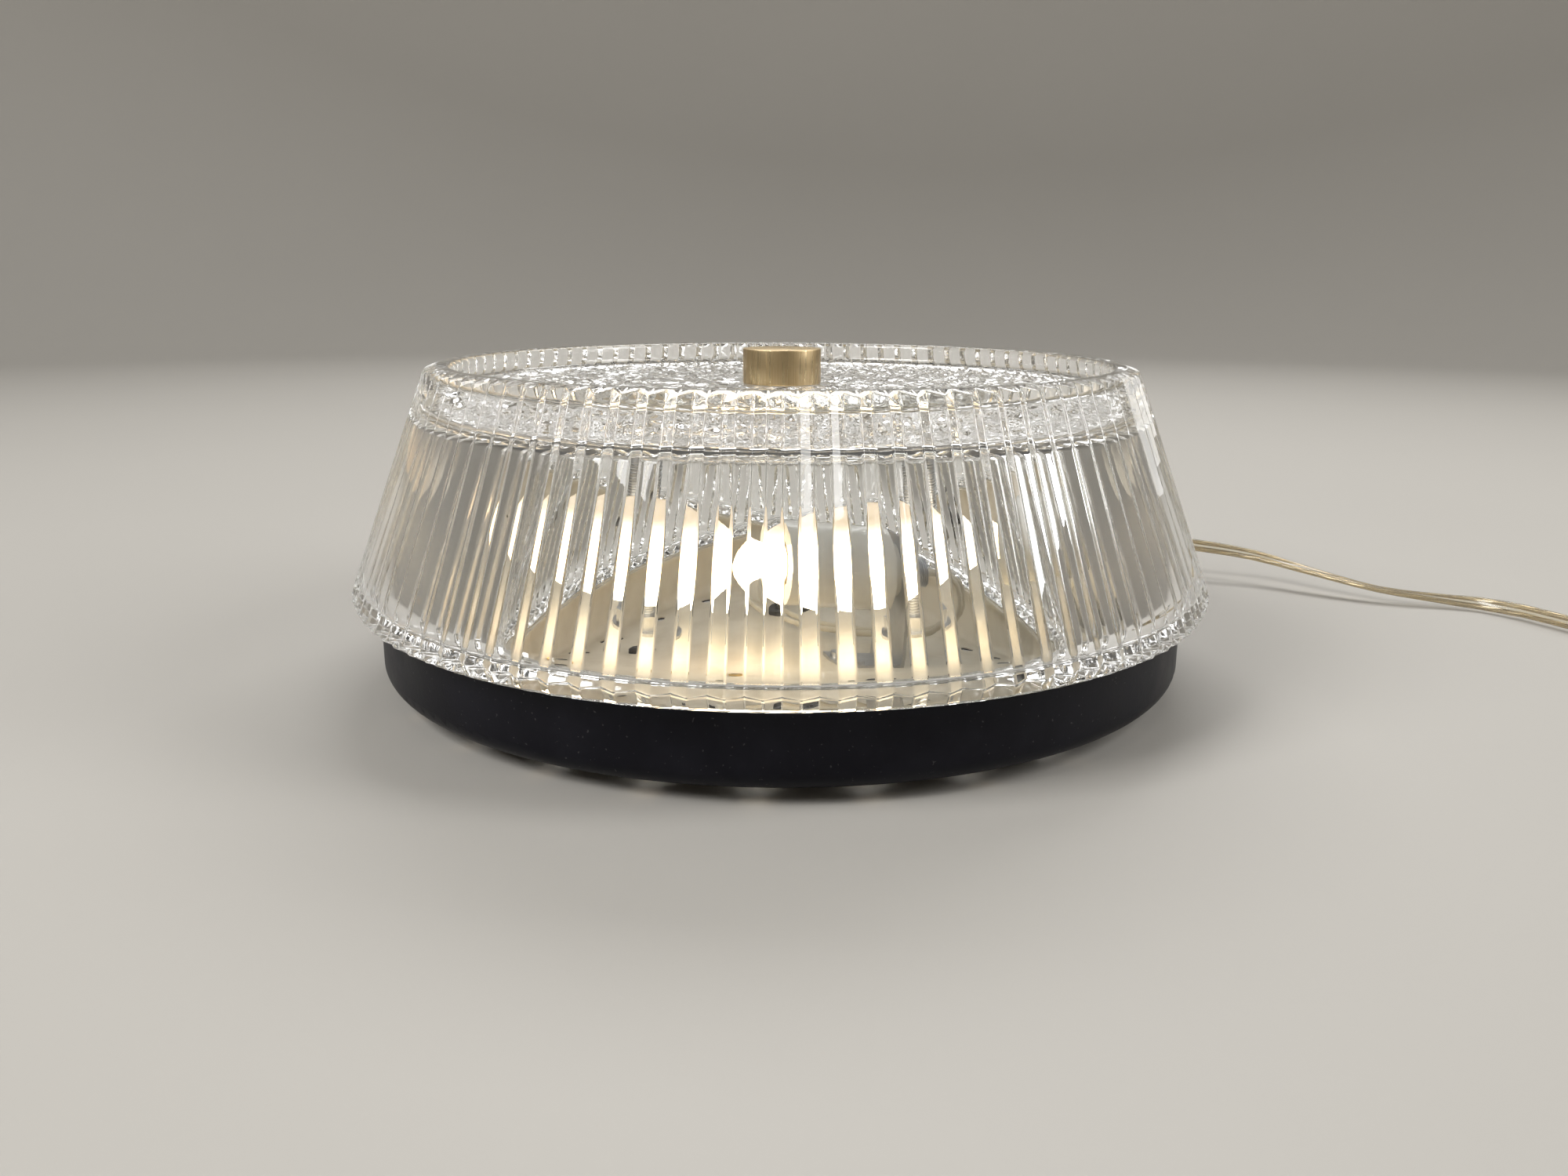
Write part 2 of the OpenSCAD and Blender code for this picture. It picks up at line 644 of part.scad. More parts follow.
module recess() {
    bevel = 1.5;
    rotate_extrude() {
        rounded_corner(rim_in_r, panel_z, rim_z + cut, recess_fillet);
        polygon([[rim_in_r - cut, rim_z - bevel], [rim_in_r, rim_z - bevel],
            [rim_in_r + bevel / 2, rim_z - bevel / 4], [rim_in_r + bevel, rim_z],
            [rim_in_r + bevel, rim_z + cut], [rim_in_r - cut, rim_z + cut]]);
    }
}
// pressed glass shade with ribs, raised rim and centre hole
module glass_shade() {
    color([0.85, 0.88, 0.88, 0.35]) difference() {
        ribbed_body();
        cavity();
        recess();
        translate([0, 0, panel_low - cut]) cylinder(r = panel_hole_r, h = panel_t + 2 * cut);
    }
}
// soft washer that travels with the cap nut
module nut_washer() {
    color([0.85, 0.85, 0.82]) translate([0, 0, washer_z]) ring(washer_r, panel_hole_r, washer_t);
}
// closed brass nut on the rod's end
module cap_nut() {
    color([0.72, 0.58, 0.35]) difference() {
        translate([0, 0, cap_z]) rotate_extrude() polygon([[0, 0], [cap_r, 0], [cap_r, cap_h - cap_bevel],
            [cap_r - cap_bevel, cap_h], [0, cap_h]]);
        translate([0, 0, cap_z - cut]) cylinder(r = rod_r + thread_play, h = bore_top - cap_z + cut);
    }
}

// solder contact at the bulb's end
module bulb_contact() {
    color([0.75, 0.75, 0.75]) at_holder(tip_low) cylinder(r1 = 0.7 * tip_r, r2 = tip_r, h = tip_t);
}
// dark insulator between contact and screw cap
module bulb_insulator() {
    color([0.08, 0.08, 0.09]) at_holder(insulator_low)
        cylinder(r1 = tip_r + 0.3, r2 = bulb_cap_r - 1.2, h = insulator_t);
}
// screw cap with rounded thread grooves
module bulb_cap() {
    color([0.78, 0.75, 0.66]) at_holder(bulb_cap_low) difference() {
        cylinder(r = bulb_cap_r, h = bulb_cap_l);
        for (k = [1 : thread_rings]) translate([0, 0, thread_step * k])
            rotate_extrude() translate([bulb_cap_r + 0.2, 0]) circle(r = thread_depth + 0.2);
        translate([0, 0, bulb_cap_l - 6]) cylinder(r = bulb_neck_r + free_play, h = 6 + cut);
    }
}
// radius of the bulb's glass at share u of its length, from the neck to the pointed end
function bulb_shape(u) = u < 0.45 ? bulb_neck_r + (bulb_r - bulb_neck_r) * (1 - cos(180 * u / 0.45)) / 2
    : bulb_r * pow(max(0, cos(90 * (u - 0.45) / 0.55)), 0.7);
function bulb_side(less) = [for (k = [0 : bulb_steps - 1])
    let (u = k / bulb_steps) [bulb_shape(u) - less, u * bulb_l]];
module bulb_glass() {
    neck = 5;
    color([0.95, 0.94, 0.9, 0.6]) at_holder() rotate_extrude() difference() {
        polygon(concat([[0, -neck], [bulb_neck_r, -neck]], bulb_side(0), [[0, bulb_l]]));
        polygon(concat([[0, bulb_t - neck], [bulb_neck_r - bulb_t, bulb_t - neck]], bulb_side(bulb_t),
            [[0, bulb_l - 1.5 * bulb_t]]));
    }
}
// glass stem inside the bulb
module bulb_stem() {
    color([0.9, 0.92, 0.92, 0.6]) at_holder(bulb_t - 5)
        cylinder(r1 = stem_r, r2 = stem_top_r, h = stem_l + 5 - bulb_t);
}
// support wires and glowing wire
module bulb_filament() {
    leg_l = norm([filament_w / 2, filament_rise]);
    color([0.4, 0.4, 0.42]) at_holder(stem_l) {
        difference() {
            for (s = [-1, 1]) rotate([s * atan(filament_w / 2 / filament_rise), 0, 0])
                cylinder(r = filament_r, h = leg_l);
            translate([0, 0, free_play / 2 - cut]) cylinder(r = stem_r, h = cut);
        }
        translate([0, -filament_w / 2, filament_rise - filament_r]) rotate([-90, 0, 0])
            cylinder(r = filament_r, h = filament_w);
    }
}

// cord from the sleeve to the coil
module cord_lead() {
    route = concat([cord_from], cord_points, [coil_from]);
    turned = [for (q = cord_turns) [q, 0, 0]];
    path = smooth(route, 3);
    turns = [for (q = smooth(turned, 3)) q[0]];
    color([0.85, 0.78, 0.6]) skin(tube_rings(path, outline(cord_w, cord_t, 12), turns, exit_dir, coil_dir));
}
// centre line of the coil after w degrees of winding
function coil_mid(w) =
    let (left = abs(coil_back - w), r = coil_r - coil_step * (coil_back - left) / 360, a = coil_phase + w,
        c = min(max((w - coil_back) / 180 + 0.5, 0), 1))
    [coil_at[0] + r * cos(a), coil_at[1] + r * sin(a), coil_low + coil_rise * c * c * (3 - 2 * c)];
function run_drop(s) = let (c = min(max((s - 10) / 15, 0), 1)) c * c * (3 - 2 * c);
coil_count = round(coil_turn / 360 * coil_rings);
coil_path = concat([coil_from], [for (i = [0 : coil_count]) coil_mid(coil_turn * i / coil_count)],
    [for (s = [10, 15, 20, 25, run_out]) coil_mid(coil_turn) + s * end_dir
        + [0, 0, (plug_z - coil_low - coil_rise) * run_drop(s)]]);
coil_tube = tube_rings(coil_path, outline(cord_w, cord_t, 6), [for (p = coil_path) 90], coil_dir, end_dir);
coil_near = min([for (i = [0 : len(coil_tube) - 1], j = [i + 12 : 1 : len(coil_tube) - 1])
    if (norm(coil_path[i] - coil_path[j]) < 3 * cord_w)
        min([for (a = coil_tube[i], b = coil_tube[j]) norm(a - b)])]);
function path_length(p) = sum([for (i = [1 : len(p) - 1]) norm(p[i] - p[i - 1])]);
module cord_coil() {
    echo(coil_least_gap = coil_near, coil_length = path_length(coil_path),
        lead_length = path_length(smooth(concat([cord_from], cord_points, [coil_from]), 3)));
    color([0.85, 0.78, 0.6]) skin(coil_tube);
}
// tie round the coil
module coil_tie() {
    color([0.15, 0.15, 0.15]) translate([coil_at[0], coil_at[1], 0]) rotate([0, 0, tie_angle])
        translate([tie_in - tie_t, -tie_w / 2, 0]) difference() {
            cube([tie_out - tie_in + 2 * tie_t, tie_w, tie_top + tie_t]);
            translate([tie_t, -cut, tie_t]) cube([tie_out - tie_in, tie_w + 2 * cut, tie_top - tie_t]);
        }
}
// flat two-pin plug with its tapered tail
module at_plug() {
    translate(plug_at) rotate([0, 0, end_angle + 90]) children();
}
module plug_body() {
    color([0.9, 0.89, 0.85]) at_plug() {
        rotate([0, 90, 0]) cylinder(r1 = plug_tip_r, r2 = plug_tail_r, h = plug_tail_l + 2);
        translate([plug_tail_l, 0, -plug_t / 2]) linear_extrude(plug_t) polygon([
            [0, -plug_neck_w / 2], [0.45 * plug_l, -plug_w / 2], [plug_l, -plug_w / 2],
            [plug_l, plug_w / 2], [0.45 * plug_l, plug_w / 2], [0, plug_neck_w / 2]]);
    }
}
module plug_pins() {
    color([0.8, 0.8, 0.82]) at_plug() for (s = [-1, 1])
        translate([plug_tail_l + plug_l, s * pin_pitch / 2, 0]) rotate([0, 90, 0])
            cylinder(r = pin_r, h = pin_l);
}

base_pan();
ceiling_spacers();
seat_gasket();
centre_rod();
rod_nuts();
rod_washer();
holder_bracket();
bracket_screws();
lampholder_body();
lampholder_shell();
centre_contact();
holder_nipple();
nipple_nut();
terminal_block();
terminal_screws();
terminal_fixing();
wire_live();
wire_neutral();
cord_sleeve();
cord_inner();
clamp_block();
clamp_bar();
clamp_screws();
floor_nuts();
earth_screw();
entry_grommet();
glass_shade();
nut_washer();
cap_nut();
bulb_contact();
bulb_insulator();
bulb_cap();
bulb_glass();
bulb_stem();
bulb_filament();
cord_lead();
cord_coil();
coil_tie();
plug_body();
plug_pins();
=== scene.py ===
import json
import math
import bmesh
import bpy
from mathutils import Matrix, Vector


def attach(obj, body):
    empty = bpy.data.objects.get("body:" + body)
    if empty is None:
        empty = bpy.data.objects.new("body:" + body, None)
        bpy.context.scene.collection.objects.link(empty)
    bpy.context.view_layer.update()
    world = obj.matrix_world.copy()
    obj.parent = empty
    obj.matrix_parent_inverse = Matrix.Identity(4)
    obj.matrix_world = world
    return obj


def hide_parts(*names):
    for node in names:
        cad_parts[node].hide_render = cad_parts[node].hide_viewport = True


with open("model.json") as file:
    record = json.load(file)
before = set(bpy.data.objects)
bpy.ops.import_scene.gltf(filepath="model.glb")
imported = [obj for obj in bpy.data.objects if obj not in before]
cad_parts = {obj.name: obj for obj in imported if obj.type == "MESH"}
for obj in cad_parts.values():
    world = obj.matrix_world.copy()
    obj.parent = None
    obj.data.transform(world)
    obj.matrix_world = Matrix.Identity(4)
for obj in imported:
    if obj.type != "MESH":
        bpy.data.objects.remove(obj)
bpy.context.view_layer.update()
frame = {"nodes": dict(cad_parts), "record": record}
nodes = frame["nodes"]
mm = 0.001
weldGap = 1e-6


# camera as in the photo: a phone held a little above the rim
photoCamera = {"place": (-0.01497, -0.42288, 0.1299), "lens": 29.065, "sensor": 36.0, "clip": (0.01, 50),
               "yaw": 2.17, "pitch": 14.04, "roll": 0.27}
# light goes many times to and fro in the thick glass
lightPaths = {"max_bounces": 20, "glossy_bounces": 12, "transmission_bounces": 16}


def setCamera(c):
    yaw, pitch, roll = (math.radians(c[k]) for k in ("yaw", "pitch", "roll"))
    level = math.cos(pitch)
    ahead = Vector((math.sin(yaw) * level, math.cos(yaw) * level, -math.sin(pitch)))
    side = Vector((math.cos(yaw), -math.sin(yaw), 0))
    up = side.cross(ahead)
    right = math.cos(roll) * side + math.sin(roll) * up
    top = -math.sin(roll) * side + math.cos(roll) * up
    bpy.ops.object.camera_add(location=c["place"])
    camera = bpy.context.object
    camera.name = "photoCamera"
    camera.data.lens, camera.data.sensor_width = c["lens"], c["sensor"]
    camera.data.clip_start, camera.data.clip_end = c["clip"]
    camera.rotation_euler = Matrix((right, top, -ahead)).transposed().to_euler()
    bpy.context.scene.camera = camera


setCamera(photoCamera)
bpy.context.scene.view_settings.view_transform = "Standard"
for kind, count in lightPaths.items():
    setattr(bpy.context.scene.cycles, kind, count)
print("camera set")


# small helpers for working by hand
def hold(piece):
    if bpy.context.mode != "OBJECT":
        bpy.ops.object.mode_set(mode="OBJECT")
    bpy.ops.object.select_all(action="DESELECT")
    piece.select_set(True)
    bpy.context.view_layer.objects.active = piece


def settle(piece):  # its place goes into its mesh
    hold(piece)
    bpy.ops.object.transform_apply(location=True, rotation=True, scale=True)
    return piece


def added(name):  # the primitive just added
    piece = bpy.context.object
    piece.name = piece.data.name = name
    return settle(piece)


def standAt(piece, place, turn):
    piece.location = [x * mm for x in place]
    piece.rotation_euler = [math.radians(a) for a in turn]
    return settle(piece)


def addBlock(name, place, size):
    bpy.ops.mesh.primitive_cube_add(size=1, location=[x * mm for x in place], scale=[x * mm for x in size])
    return added(name)


def openEdit(piece):
    hold(piece)
    bpy.ops.object.mode_set(mode="EDIT")
    bpy.ops.mesh.select_mode(type="VERT")
    bpy.ops.mesh.select_all(action="DESELECT")


def shut():
    bpy.ops.object.mode_set(mode="OBJECT")


def pickAll():
    bpy.ops.mesh.select_all(action="SELECT")


def pick(piece, kind, test):  # points by place, edges by their two ends, faces by middle and normal
    bpy.ops.mesh.select_mode(type=kind)
    bpy.ops.mesh.select_all(action="DESELECT")
    mesh = bmesh.from_edit_mesh(piece.data)
    if kind == "VERT":
        found = [v for v in mesh.verts if test(v.co)]
    elif kind == "EDGE":
        found = [e for e in mesh.edges if test(e.verts[0].co, e.verts[1].co)]
    else:
        found = [f for f in mesh.faces if test(f.calc_center_median(), f.normal)]
    for one in found:
        one.select_set(True)
    mesh.select_flush_mode()
    bmesh.update_edit_mesh(piece.data)


def pickNumbers(piece, numbers):  # points by number
    bpy.ops.mesh.select_all(action="DESELECT")
    mesh = bmesh.from_edit_mesh(piece.data)
    mesh.verts.ensure_lookup_table()
    for i in numbers:
        mesh.verts[i].select_set(True)
    mesh.select_flush_mode()
    bmesh.update_edit_mesh(piece.data)


def pull(rise):
    bpy.ops.mesh.extrude_region_move(TRANSFORM_OT_translate={"value": (0, 0, rise)})


def widen(kx, ky, kz, about=(0, 0, 0)):
    bpy.ops.transform.resize(value=(kx, ky, kz), center_override=about)


def faceOut():
    pickAll()
    bpy.ops.mesh.normals_make_consistent(inside=False)


def cleanUp(piece):
    openEdit(piece)
    pickAll()
    bpy.ops.mesh.remove_doubles(threshold=weldGap)
    faceOut()
    shut()


def shape(piece, kind, **values):  # adds a modifier and applies it
    hold(piece)
    modifier = piece.modifiers.new(kind.title(), kind)
    for key, value in values.items():
        setattr(modifier, key, value)
    bpy.ops.object.modifier_apply(modifier=modifier.name)


def bevelled(piece, width, segments, angle):
    shape(piece, "BEVEL", width=width * mm, segments=segments, limit_method="ANGLE",
          angle_limit=math.radians(angle))


def evenShading(piece):
    hold(piece)
    bpy.ops.object.shade_smooth()
    shape(piece, "WEIGHTED_NORMAL", weight=60, keep_sharp=True)


def softEdges(piece, width, angle):
    bevelled(piece, width, 2, angle)
    evenShading(piece)


def smoothBelow(piece, angle):
    hold(piece)
    bpy.ops.object.shade_smooth_by_angle(angle=math.radians(angle))


def turned(name, profile, sides, smooth):
    # one circle pulled along a profile of radius and height; open ends are capped
    r, z = profile[0]
    bpy.ops.mesh.primitive_circle_add(vertices=sides, radius=r * mm, location=(0, 0, z * mm))
    piece = added(name)
    openEdit(piece)
    pickAll()
    for (r0, z0), (r1, z1) in zip(profile, profile[1:]):
        pull((z1 - z0) * mm)
        widen(r1 / r0, r1 / r0, 1)
    if profile[0] != profile[-1]:
        bpy.ops.mesh.edge_face_add()
        mesh = bmesh.from_edit_mesh(piece.data)
        pickNumbers(piece, {v.index for e in mesh.edges if len(e.link_faces) < 2 for v in e.verts})
        bpy.ops.mesh.edge_face_add()
    shut()
    cleanUp(piece)
    smoothBelow(piece, smooth)
    return piece


def joined(first, *others):
    hold(first)
    for o in others:
        o.select_set(True)
    bpy.ops.object.join()
    return first


def lead(piece, body, slot, *stood):
    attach(piece, body)
    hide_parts(*stood)
    return piece


# flat two-core cord: the route from the sleeve to the coil, then the coil and its run to the plug
cordPiece = {
    "width": 5.2, "thick": 2.6, "coreR": 0.78, "coreAt": 1.28, "waist": 0.62, "sides": 20,
    "exit": 45.0, "from": (155.6, 14.0), "steps": 3,
    "points": [(118, 118, 14), (132, 128, 14.4), (149, 130, 14.6), (168, 123, 14.5), (187, 114, 14),
               (208, 103, 12), (227, 84, 8.6), (246, 68, 5.4), (268, 59, 3.6), (280, 53, 3.2),
               (288, 43, 3.3), (293, 33, 3.4)],
    "flatTurn": [0, 0, 20, 45, 65, 70, 45, 10, 0, 30, 60, 80, 90, 90], "upright": 90,
    "coilAt": (350, -10), "coilPhase": 205.0, "coilTurn": 2675.0, "coilR": 36.0, "coilStep": 3.1,
    "coilLow": 3.45, "coilRise": 5.7, "ringsPerTurn": 48, "runIn": 5.2,
    "run": (4, 8, 11, 14, 17, 20, 23, 26, 29, 32), "dropFrom": 10, "dropOver": 15, "plugZ": 6.85}


def easy(t):
    t = min(max(t, 0), 1)
    return t * t * (3 - 2 * t)


def alongPoints(p, k, t):  # smooth curve through points, part k, share t
    a, b, c, d = p[max(k - 1, 0)], p[k], p[k + 1], p[min(k + 2, len(p) - 1)]
    return (b + (c - a) * (t / 2) + (a - b * 2.5 + c * 2 - d / 2) * (t * t)
            + ((b - c) * 1.5 + (d - a) / 2) * (t * t * t))


def smoothLine(p, n):
    return [alongPoints(p, k, i / n) for k in range(len(p) - 1) for i in range(n)] + [p[-1]]


def wayRound(angle):  # direction of travel on a circle
    a = math.radians(angle)
    return Vector((-math.sin(a), math.cos(a), 0))


def coilMid(c, w):  # in towards the middle below, then out again above
    back = c["coilTurn"] / 2
    r = c["coilR"] - c["coilStep"] * (back - abs(back - w)) / 360
    a = math.radians(c["coilPhase"] + w)
    z = c["coilLow"] + c["coilRise"] * easy((w - back) / 180 + 0.5)
    return Vector((c["coilAt"][0] + r * math.cos(a), c["coilAt"][1] + r * math.sin(a), z))


def cordLine(c):
    out = math.radians(c["exit"])
    start = Vector((c["from"][0] * math.cos(out), c["from"][0] * math.sin(out), c["from"][1]))
    coilFrom = coilMid(c, 0) - c["runIn"] * wayRound(c["coilPhase"])
    route = smoothLine([start, *[Vector(p) for p in c["points"]], coilFrom], c["steps"])
    turns = [v.x for v in smoothLine([Vector((q, 0, 0)) for q in c["flatTurn"]], c["steps"])]
    count = round(c["coilTurn"] / 360 * c["ringsPerTurn"])
    coil = [coilMid(c, c["coilTurn"] * i / count) for i in range(count + 1)]
    ahead = wayRound(c["coilPhase"] + c["coilTurn"])
    drop = c["plugZ"] - c["coilLow"] - c["coilRise"]
    run = [coil[-1] + s * ahead + Vector((0, 0, drop * easy((s - c["dropFrom"]) / c["dropOver"])))
           for s in c["run"]]
    line = route + coil + run
    return [p * mm for p in line], turns + [c["upright"]] * (len(line) - len(turns))


def twinOutline(c):  # two round halves with a waist between them
    w, t = c["width"] / 2 * mm, c["thick"] / 2 * mm
    ring = []
    for i in range(c["sides"]):
        a = 2 * math.pi * i / c["sides"]
        x, y = w * math.cos(a), t * math.sin(a)
        ring.append((x, y * (c["waist"] + (1 - c["waist"]) * min(abs(x) / (w * 0.5), 1) ** 1.5)))
    return ring


def roundOutline(at, r, n=8):
    angles = [2 * math.pi * i / n for i in range(n)]
    return [(at + r * math.cos(a), r * math.sin(a)) for a in angles]


def tubeMesh(name, line, turns, outlines, ends):
    # rings of each outline along the line, with the run's own map: u along, v round
    last = len(line) - 1
    heads = [(line[min(i + 1, last)] - line[max(i - 1, 0)]).normalized() for i in range(len(line))]
    heads[0], heads[-1] = Vector(ends[0]).normalized(), Vector(ends[1]).normalized()
    spot = [0.0]
    for a, b in zip(line, line[1:]):
        spot.append(spot[-1] + (b - a).length)
    points, faces, maps, slots = [], [], [], []
    for slot, outline in outlines:
        n, base = len(outline), len(points)
        for p, h, q in zip(line, heads, turns):
            s = (Vector((1, 0, 0)) if abs(h.z) > 0.9 else Vector((0, 0, 1))).cross(h).normalized()
            v = h.cross(s)
            c, d = math.cos(math.radians(q)), math.sin(math.radians(q))
            points += [p + (x * c - y * d) * s + (x * d + y * c) * v for x, y in outline]
        for j in range(last):
            for i in range(n):
                corners = ((j, i), (j, i + 1), (j + 1, i + 1), (j + 1, i))
                faces.append(tuple(base + row * n + col % n for row, col in corners))
                maps.append([(spot[row], col / n) for row, col in corners])
                slots.append(slot)
        for row, way in ((0, -1), (last, 1)):
            faces.append(tuple(base + row * n + i for i in range(n))[::way])
            maps.append([(spot[row], 0.0)] * n)
            slots.append(slot)
    mesh = bpy.data.meshes.new(name)
    mesh.from_pydata(points, [], faces)
    layer = mesh.uv_layers.new(name="run")
    for face, uvs, slot in zip(mesh.polygons, maps, slots):
        face.material_index = slot
        face.use_smooth = True
        for loop, uv in zip(face.loop_indices, uvs):
            layer.data[loop].uv = uv
    piece = bpy.data.objects.new(name, mesh)
    bpy.context.collection.objects.link(piece)
    return piece


cordPath, cordTurns = cordLine(cordPiece)
out45 = (math.cos(math.pi / 4), math.sin(math.pi / 4), 0)
coreAt, coreR = cordPiece["coreAt"] * mm, cordPiece["coreR"] * mm
cordOutlines = [(0, twinOutline(cordPiece)), (1, roundOutline(coreAt, coreR)),
                (1, roundOutline(-coreAt, coreR))]
cord = tubeMesh("flatCord", cordPath, cordTurns, cordOutlines, (out45, (0, 1, 0)))
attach(cord, "base")
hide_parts("cord_lead", "cord_coil")


# ribbed glass shade, pulled ring by ring from its foot: over the rim, down the dish, out under the panel
glassShade = {
    "ribs": 96, "foot": (135.8, 27.0), "wideR": 140.0, "wideZ": 31.8, "slope": 0.373, "ribDepth": 2.8,
    "bottom": [(138.6, 28.6, 135.8, 27.8)],
    "wall": [31.8, 48, 64, 80],
    "shoulder": [(115.49, 97.5, 111.8, 99.9), (114.4, 100.1, 111.2, 101.02), (110.4, 101.5, 110.4, 101.5)],
    "dish": [(107.5, 101.5), (106.6, 101.1), (106.0, 100.0), (106.0, 96.5), (105.81, 95.54), (105.27, 94.73),
             (104.46, 94.19), (103.5, 94.0)],
    "panel": (100.6, 14.2, 27), "hole": [(10, 94), (6, 94), (6, 87), (10, 87)],
    "under": [(103.6, 87), (108.2, 87), (110.6, 86.6), (112.4, 85.5), (113.7, 84.2), (114.6, 83),
              (120.2, 68), (125.8, 53), (129.5, 43), (131.0, 39.0), (132.0, 36.0), (132.4, 34.0),
              (132.3, 32.8), (131.8, 32.0), (130.8, 31.5), (129.4, 31.2), (128.7, 30.6), (128.5, 29.8),
              (128.5, 27)],
    "rib": 0.55, "edge": 0.3, "edgeAngle": 26, "hammer": 3.8, "hammerDepth": 2.0, "hammerMid": 0.25,
    "fineFrom": 50, "fadeOut": (1.5, 4), "fadeIn": 3}


def glassRings(g):  # crest and groove of each ring, by radius and height
    rings = list(g["bottom"])
    for z in g["wall"]:
        r = g["wideR"] - g["slope"] * (z - g["wideZ"])
        rings.append((r, z, r - g["ribDepth"], z))
    wide, narrow, steps = g["panel"]
    radii = [wide + (narrow - wide) * i / (steps - 1) for i in range(steps)]
    top, low = g["hole"][0][1], g["hole"][-1][1]
    panel = [(r, top) for r in radii] + g["hole"] + [(r, low) for r in reversed(radii)]
    return rings + g["shoulder"] + [(r, z, r, z) for r, z in g["dish"] + panel + g["under"]]


def makeGlass(g):
    count = 2 * g["ribs"]
    footR, footZ = g["foot"]
    bpy.ops.mesh.primitive_circle_add(vertices=count, radius=footR * mm, location=(0, 0, footZ * mm))
    glass = added("ribbedShade")
    openEdit(glass)
    pickAll()

    def inGroove(v):
        return round(math.degrees(math.atan2(v.y, v.x)) / (360 / count)) % 2 == 1

    crest = groove = g["foot"]
    for crestR, crestZ, grooveR, grooveZ in glassRings(g):
        pull(0)
        ring = [v for v in bmesh.from_edit_mesh(glass.data).verts if v.select]
        inner = [v.index for v in ring if inGroove(v.co)]
        outer = [v.index for v in ring if not inGroove(v.co)]
        for half, old, new in ((inner, groove, (grooveR, grooveZ)), (outer, crest, (crestR, crestZ))):
            pickNumbers(glass, half)
            bpy.ops.transform.translate(value=(0, 0, (new[1] - old[1]) * mm))
            widen(new[0] / old[0], new[0] / old[0], 1)
        pickNumbers(glass, inner + outer)
        crest, groove = (crestR, crestZ), (grooveR, grooveZ)

    def roundFoot(a, b):
        return max(a.z, b.z) < (footZ + 0.01) * mm and abs(a.to_2d().length - b.to_2d().length) < 1e-5

    pick(glass, "EDGE", roundFoot)
    bpy.ops.mesh.bridge_edge_loops()
    shut()
    cleanUp(glass)

    def outside(v):
        r, z = v.to_2d().length / mm, v.z / mm
        return r > min(g["wideR"] - g["slope"] * (z - g["wideZ"]), g["wideR"]) - g["ribDepth"] - 1.0

    def alongRib(a, b):
        return outside(a) and outside(b) and (a.to_2d().normalized() - b.to_2d().normalized()).length < 1e-4

    openEdit(glass)  # the ribs' crests and grooves are well rounded
    pick(glass, "EDGE", alongRib)
    bpy.ops.mesh.bevel(offset=g["rib"] * mm, segments=3, affect="EDGES", clamp_overlap=True)
    shut()
    bevelled(glass, g["edge"], 2, g["edgeAngle"])
    hammerPanel(glass, g)
    evenShading(glass)
    return lead(glass, "shade", "clear_glass", "glass_shade")


def hammerPanel(glass, g):  # both sides of the panel, cut fine and beaten into pebbles
    wide, narrow = g["panel"][:2]
    past, over = g["fadeOut"]
    pebbles = bpy.data.textures.new("pebbles", "VORONOI")
    pebbles.distance_metric = "DISTANCE_SQUARED"
    pebbles.noise_scale = g["hammer"] * mm
    for level, side in ((g["hole"][0][1], 1), (g["hole"][-1][1], -1)):
        openEdit(glass)
        for low, high, cuts in ((g["fineFrom"], wide, 2), (narrow, g["fineFrom"], 1)):
            pick(glass, "FACE", lambda m, n: n.z * side > 0.9 and abs(m.z - level * mm) < 1e-5
                 and low * mm < m.to_2d().length < high * mm)
            bpy.ops.mesh.subdivide(number_cuts=cuts)
        shut()
        marks = glass.vertex_groups.new(name="hammered")
        for v in glass.data.vertices:
            r = v.co.to_2d().length / mm
            share = easy((wide + past - r) / over) * easy((r - narrow) / g["fadeIn"])
            if abs(v.co.z - level * mm) < 1e-5 and share > 0:
                marks.add([v.index], share, "REPLACE")
        shape(glass, "DISPLACE", texture=pebbles, texture_coords="LOCAL", direction="Z",
              vertex_group="hammered", mid_level=g["hammerMid"], strength=-side * g["hammerDepth"] * mm)
        glass.vertex_groups.clear()


shade = makeGlass(glassShade)
print("glass:", len(shade.data.polygons), "faces")


# brass cap nut: bored below, with a skirt that hides the washer and a narrow bevel on top
capNut = {"profile": [(0.5, 103), (5.0, 103), (5.0, 95.5), (5.4, 95.0), (11.75, 95.0), (11.75, 94.15),
                      (12.65, 94.15), (12.85, 94.35), (12.85, 105.0), (12.75, 105.27), (12.48, 105.4),
                      (0.5, 105.4)], "sides": 128, "smooth": 32}
nut = turned("capNut", capNut["profile"], capNut["sides"], capNut["smooth"])
lead(nut, "nut", "satin_brass", "cap_nut")


# centre rod and the lampholder's nipple: one tooth of the thread wound up, then both ends cut flat
threadedRod = {"node": "centre_rod", "r": 4.9, "rootR": 4.3, "pitch": 1.0, "crest": 0.16, "low": 1.0,
               "high": 102.2, "sides": 24}
threadedNipple = {"node": "holder_nipple", "r": 4.95, "rootR": 4.38, "pitch": 1.0, "crest": 0.16, "low": 0.0,
                  "high": 15.5, "sides": 24, "boreR": 3.6, "boreSides": 48, "at": (63.5, -28, 40),
                  "turn": (0, 90, 0)}


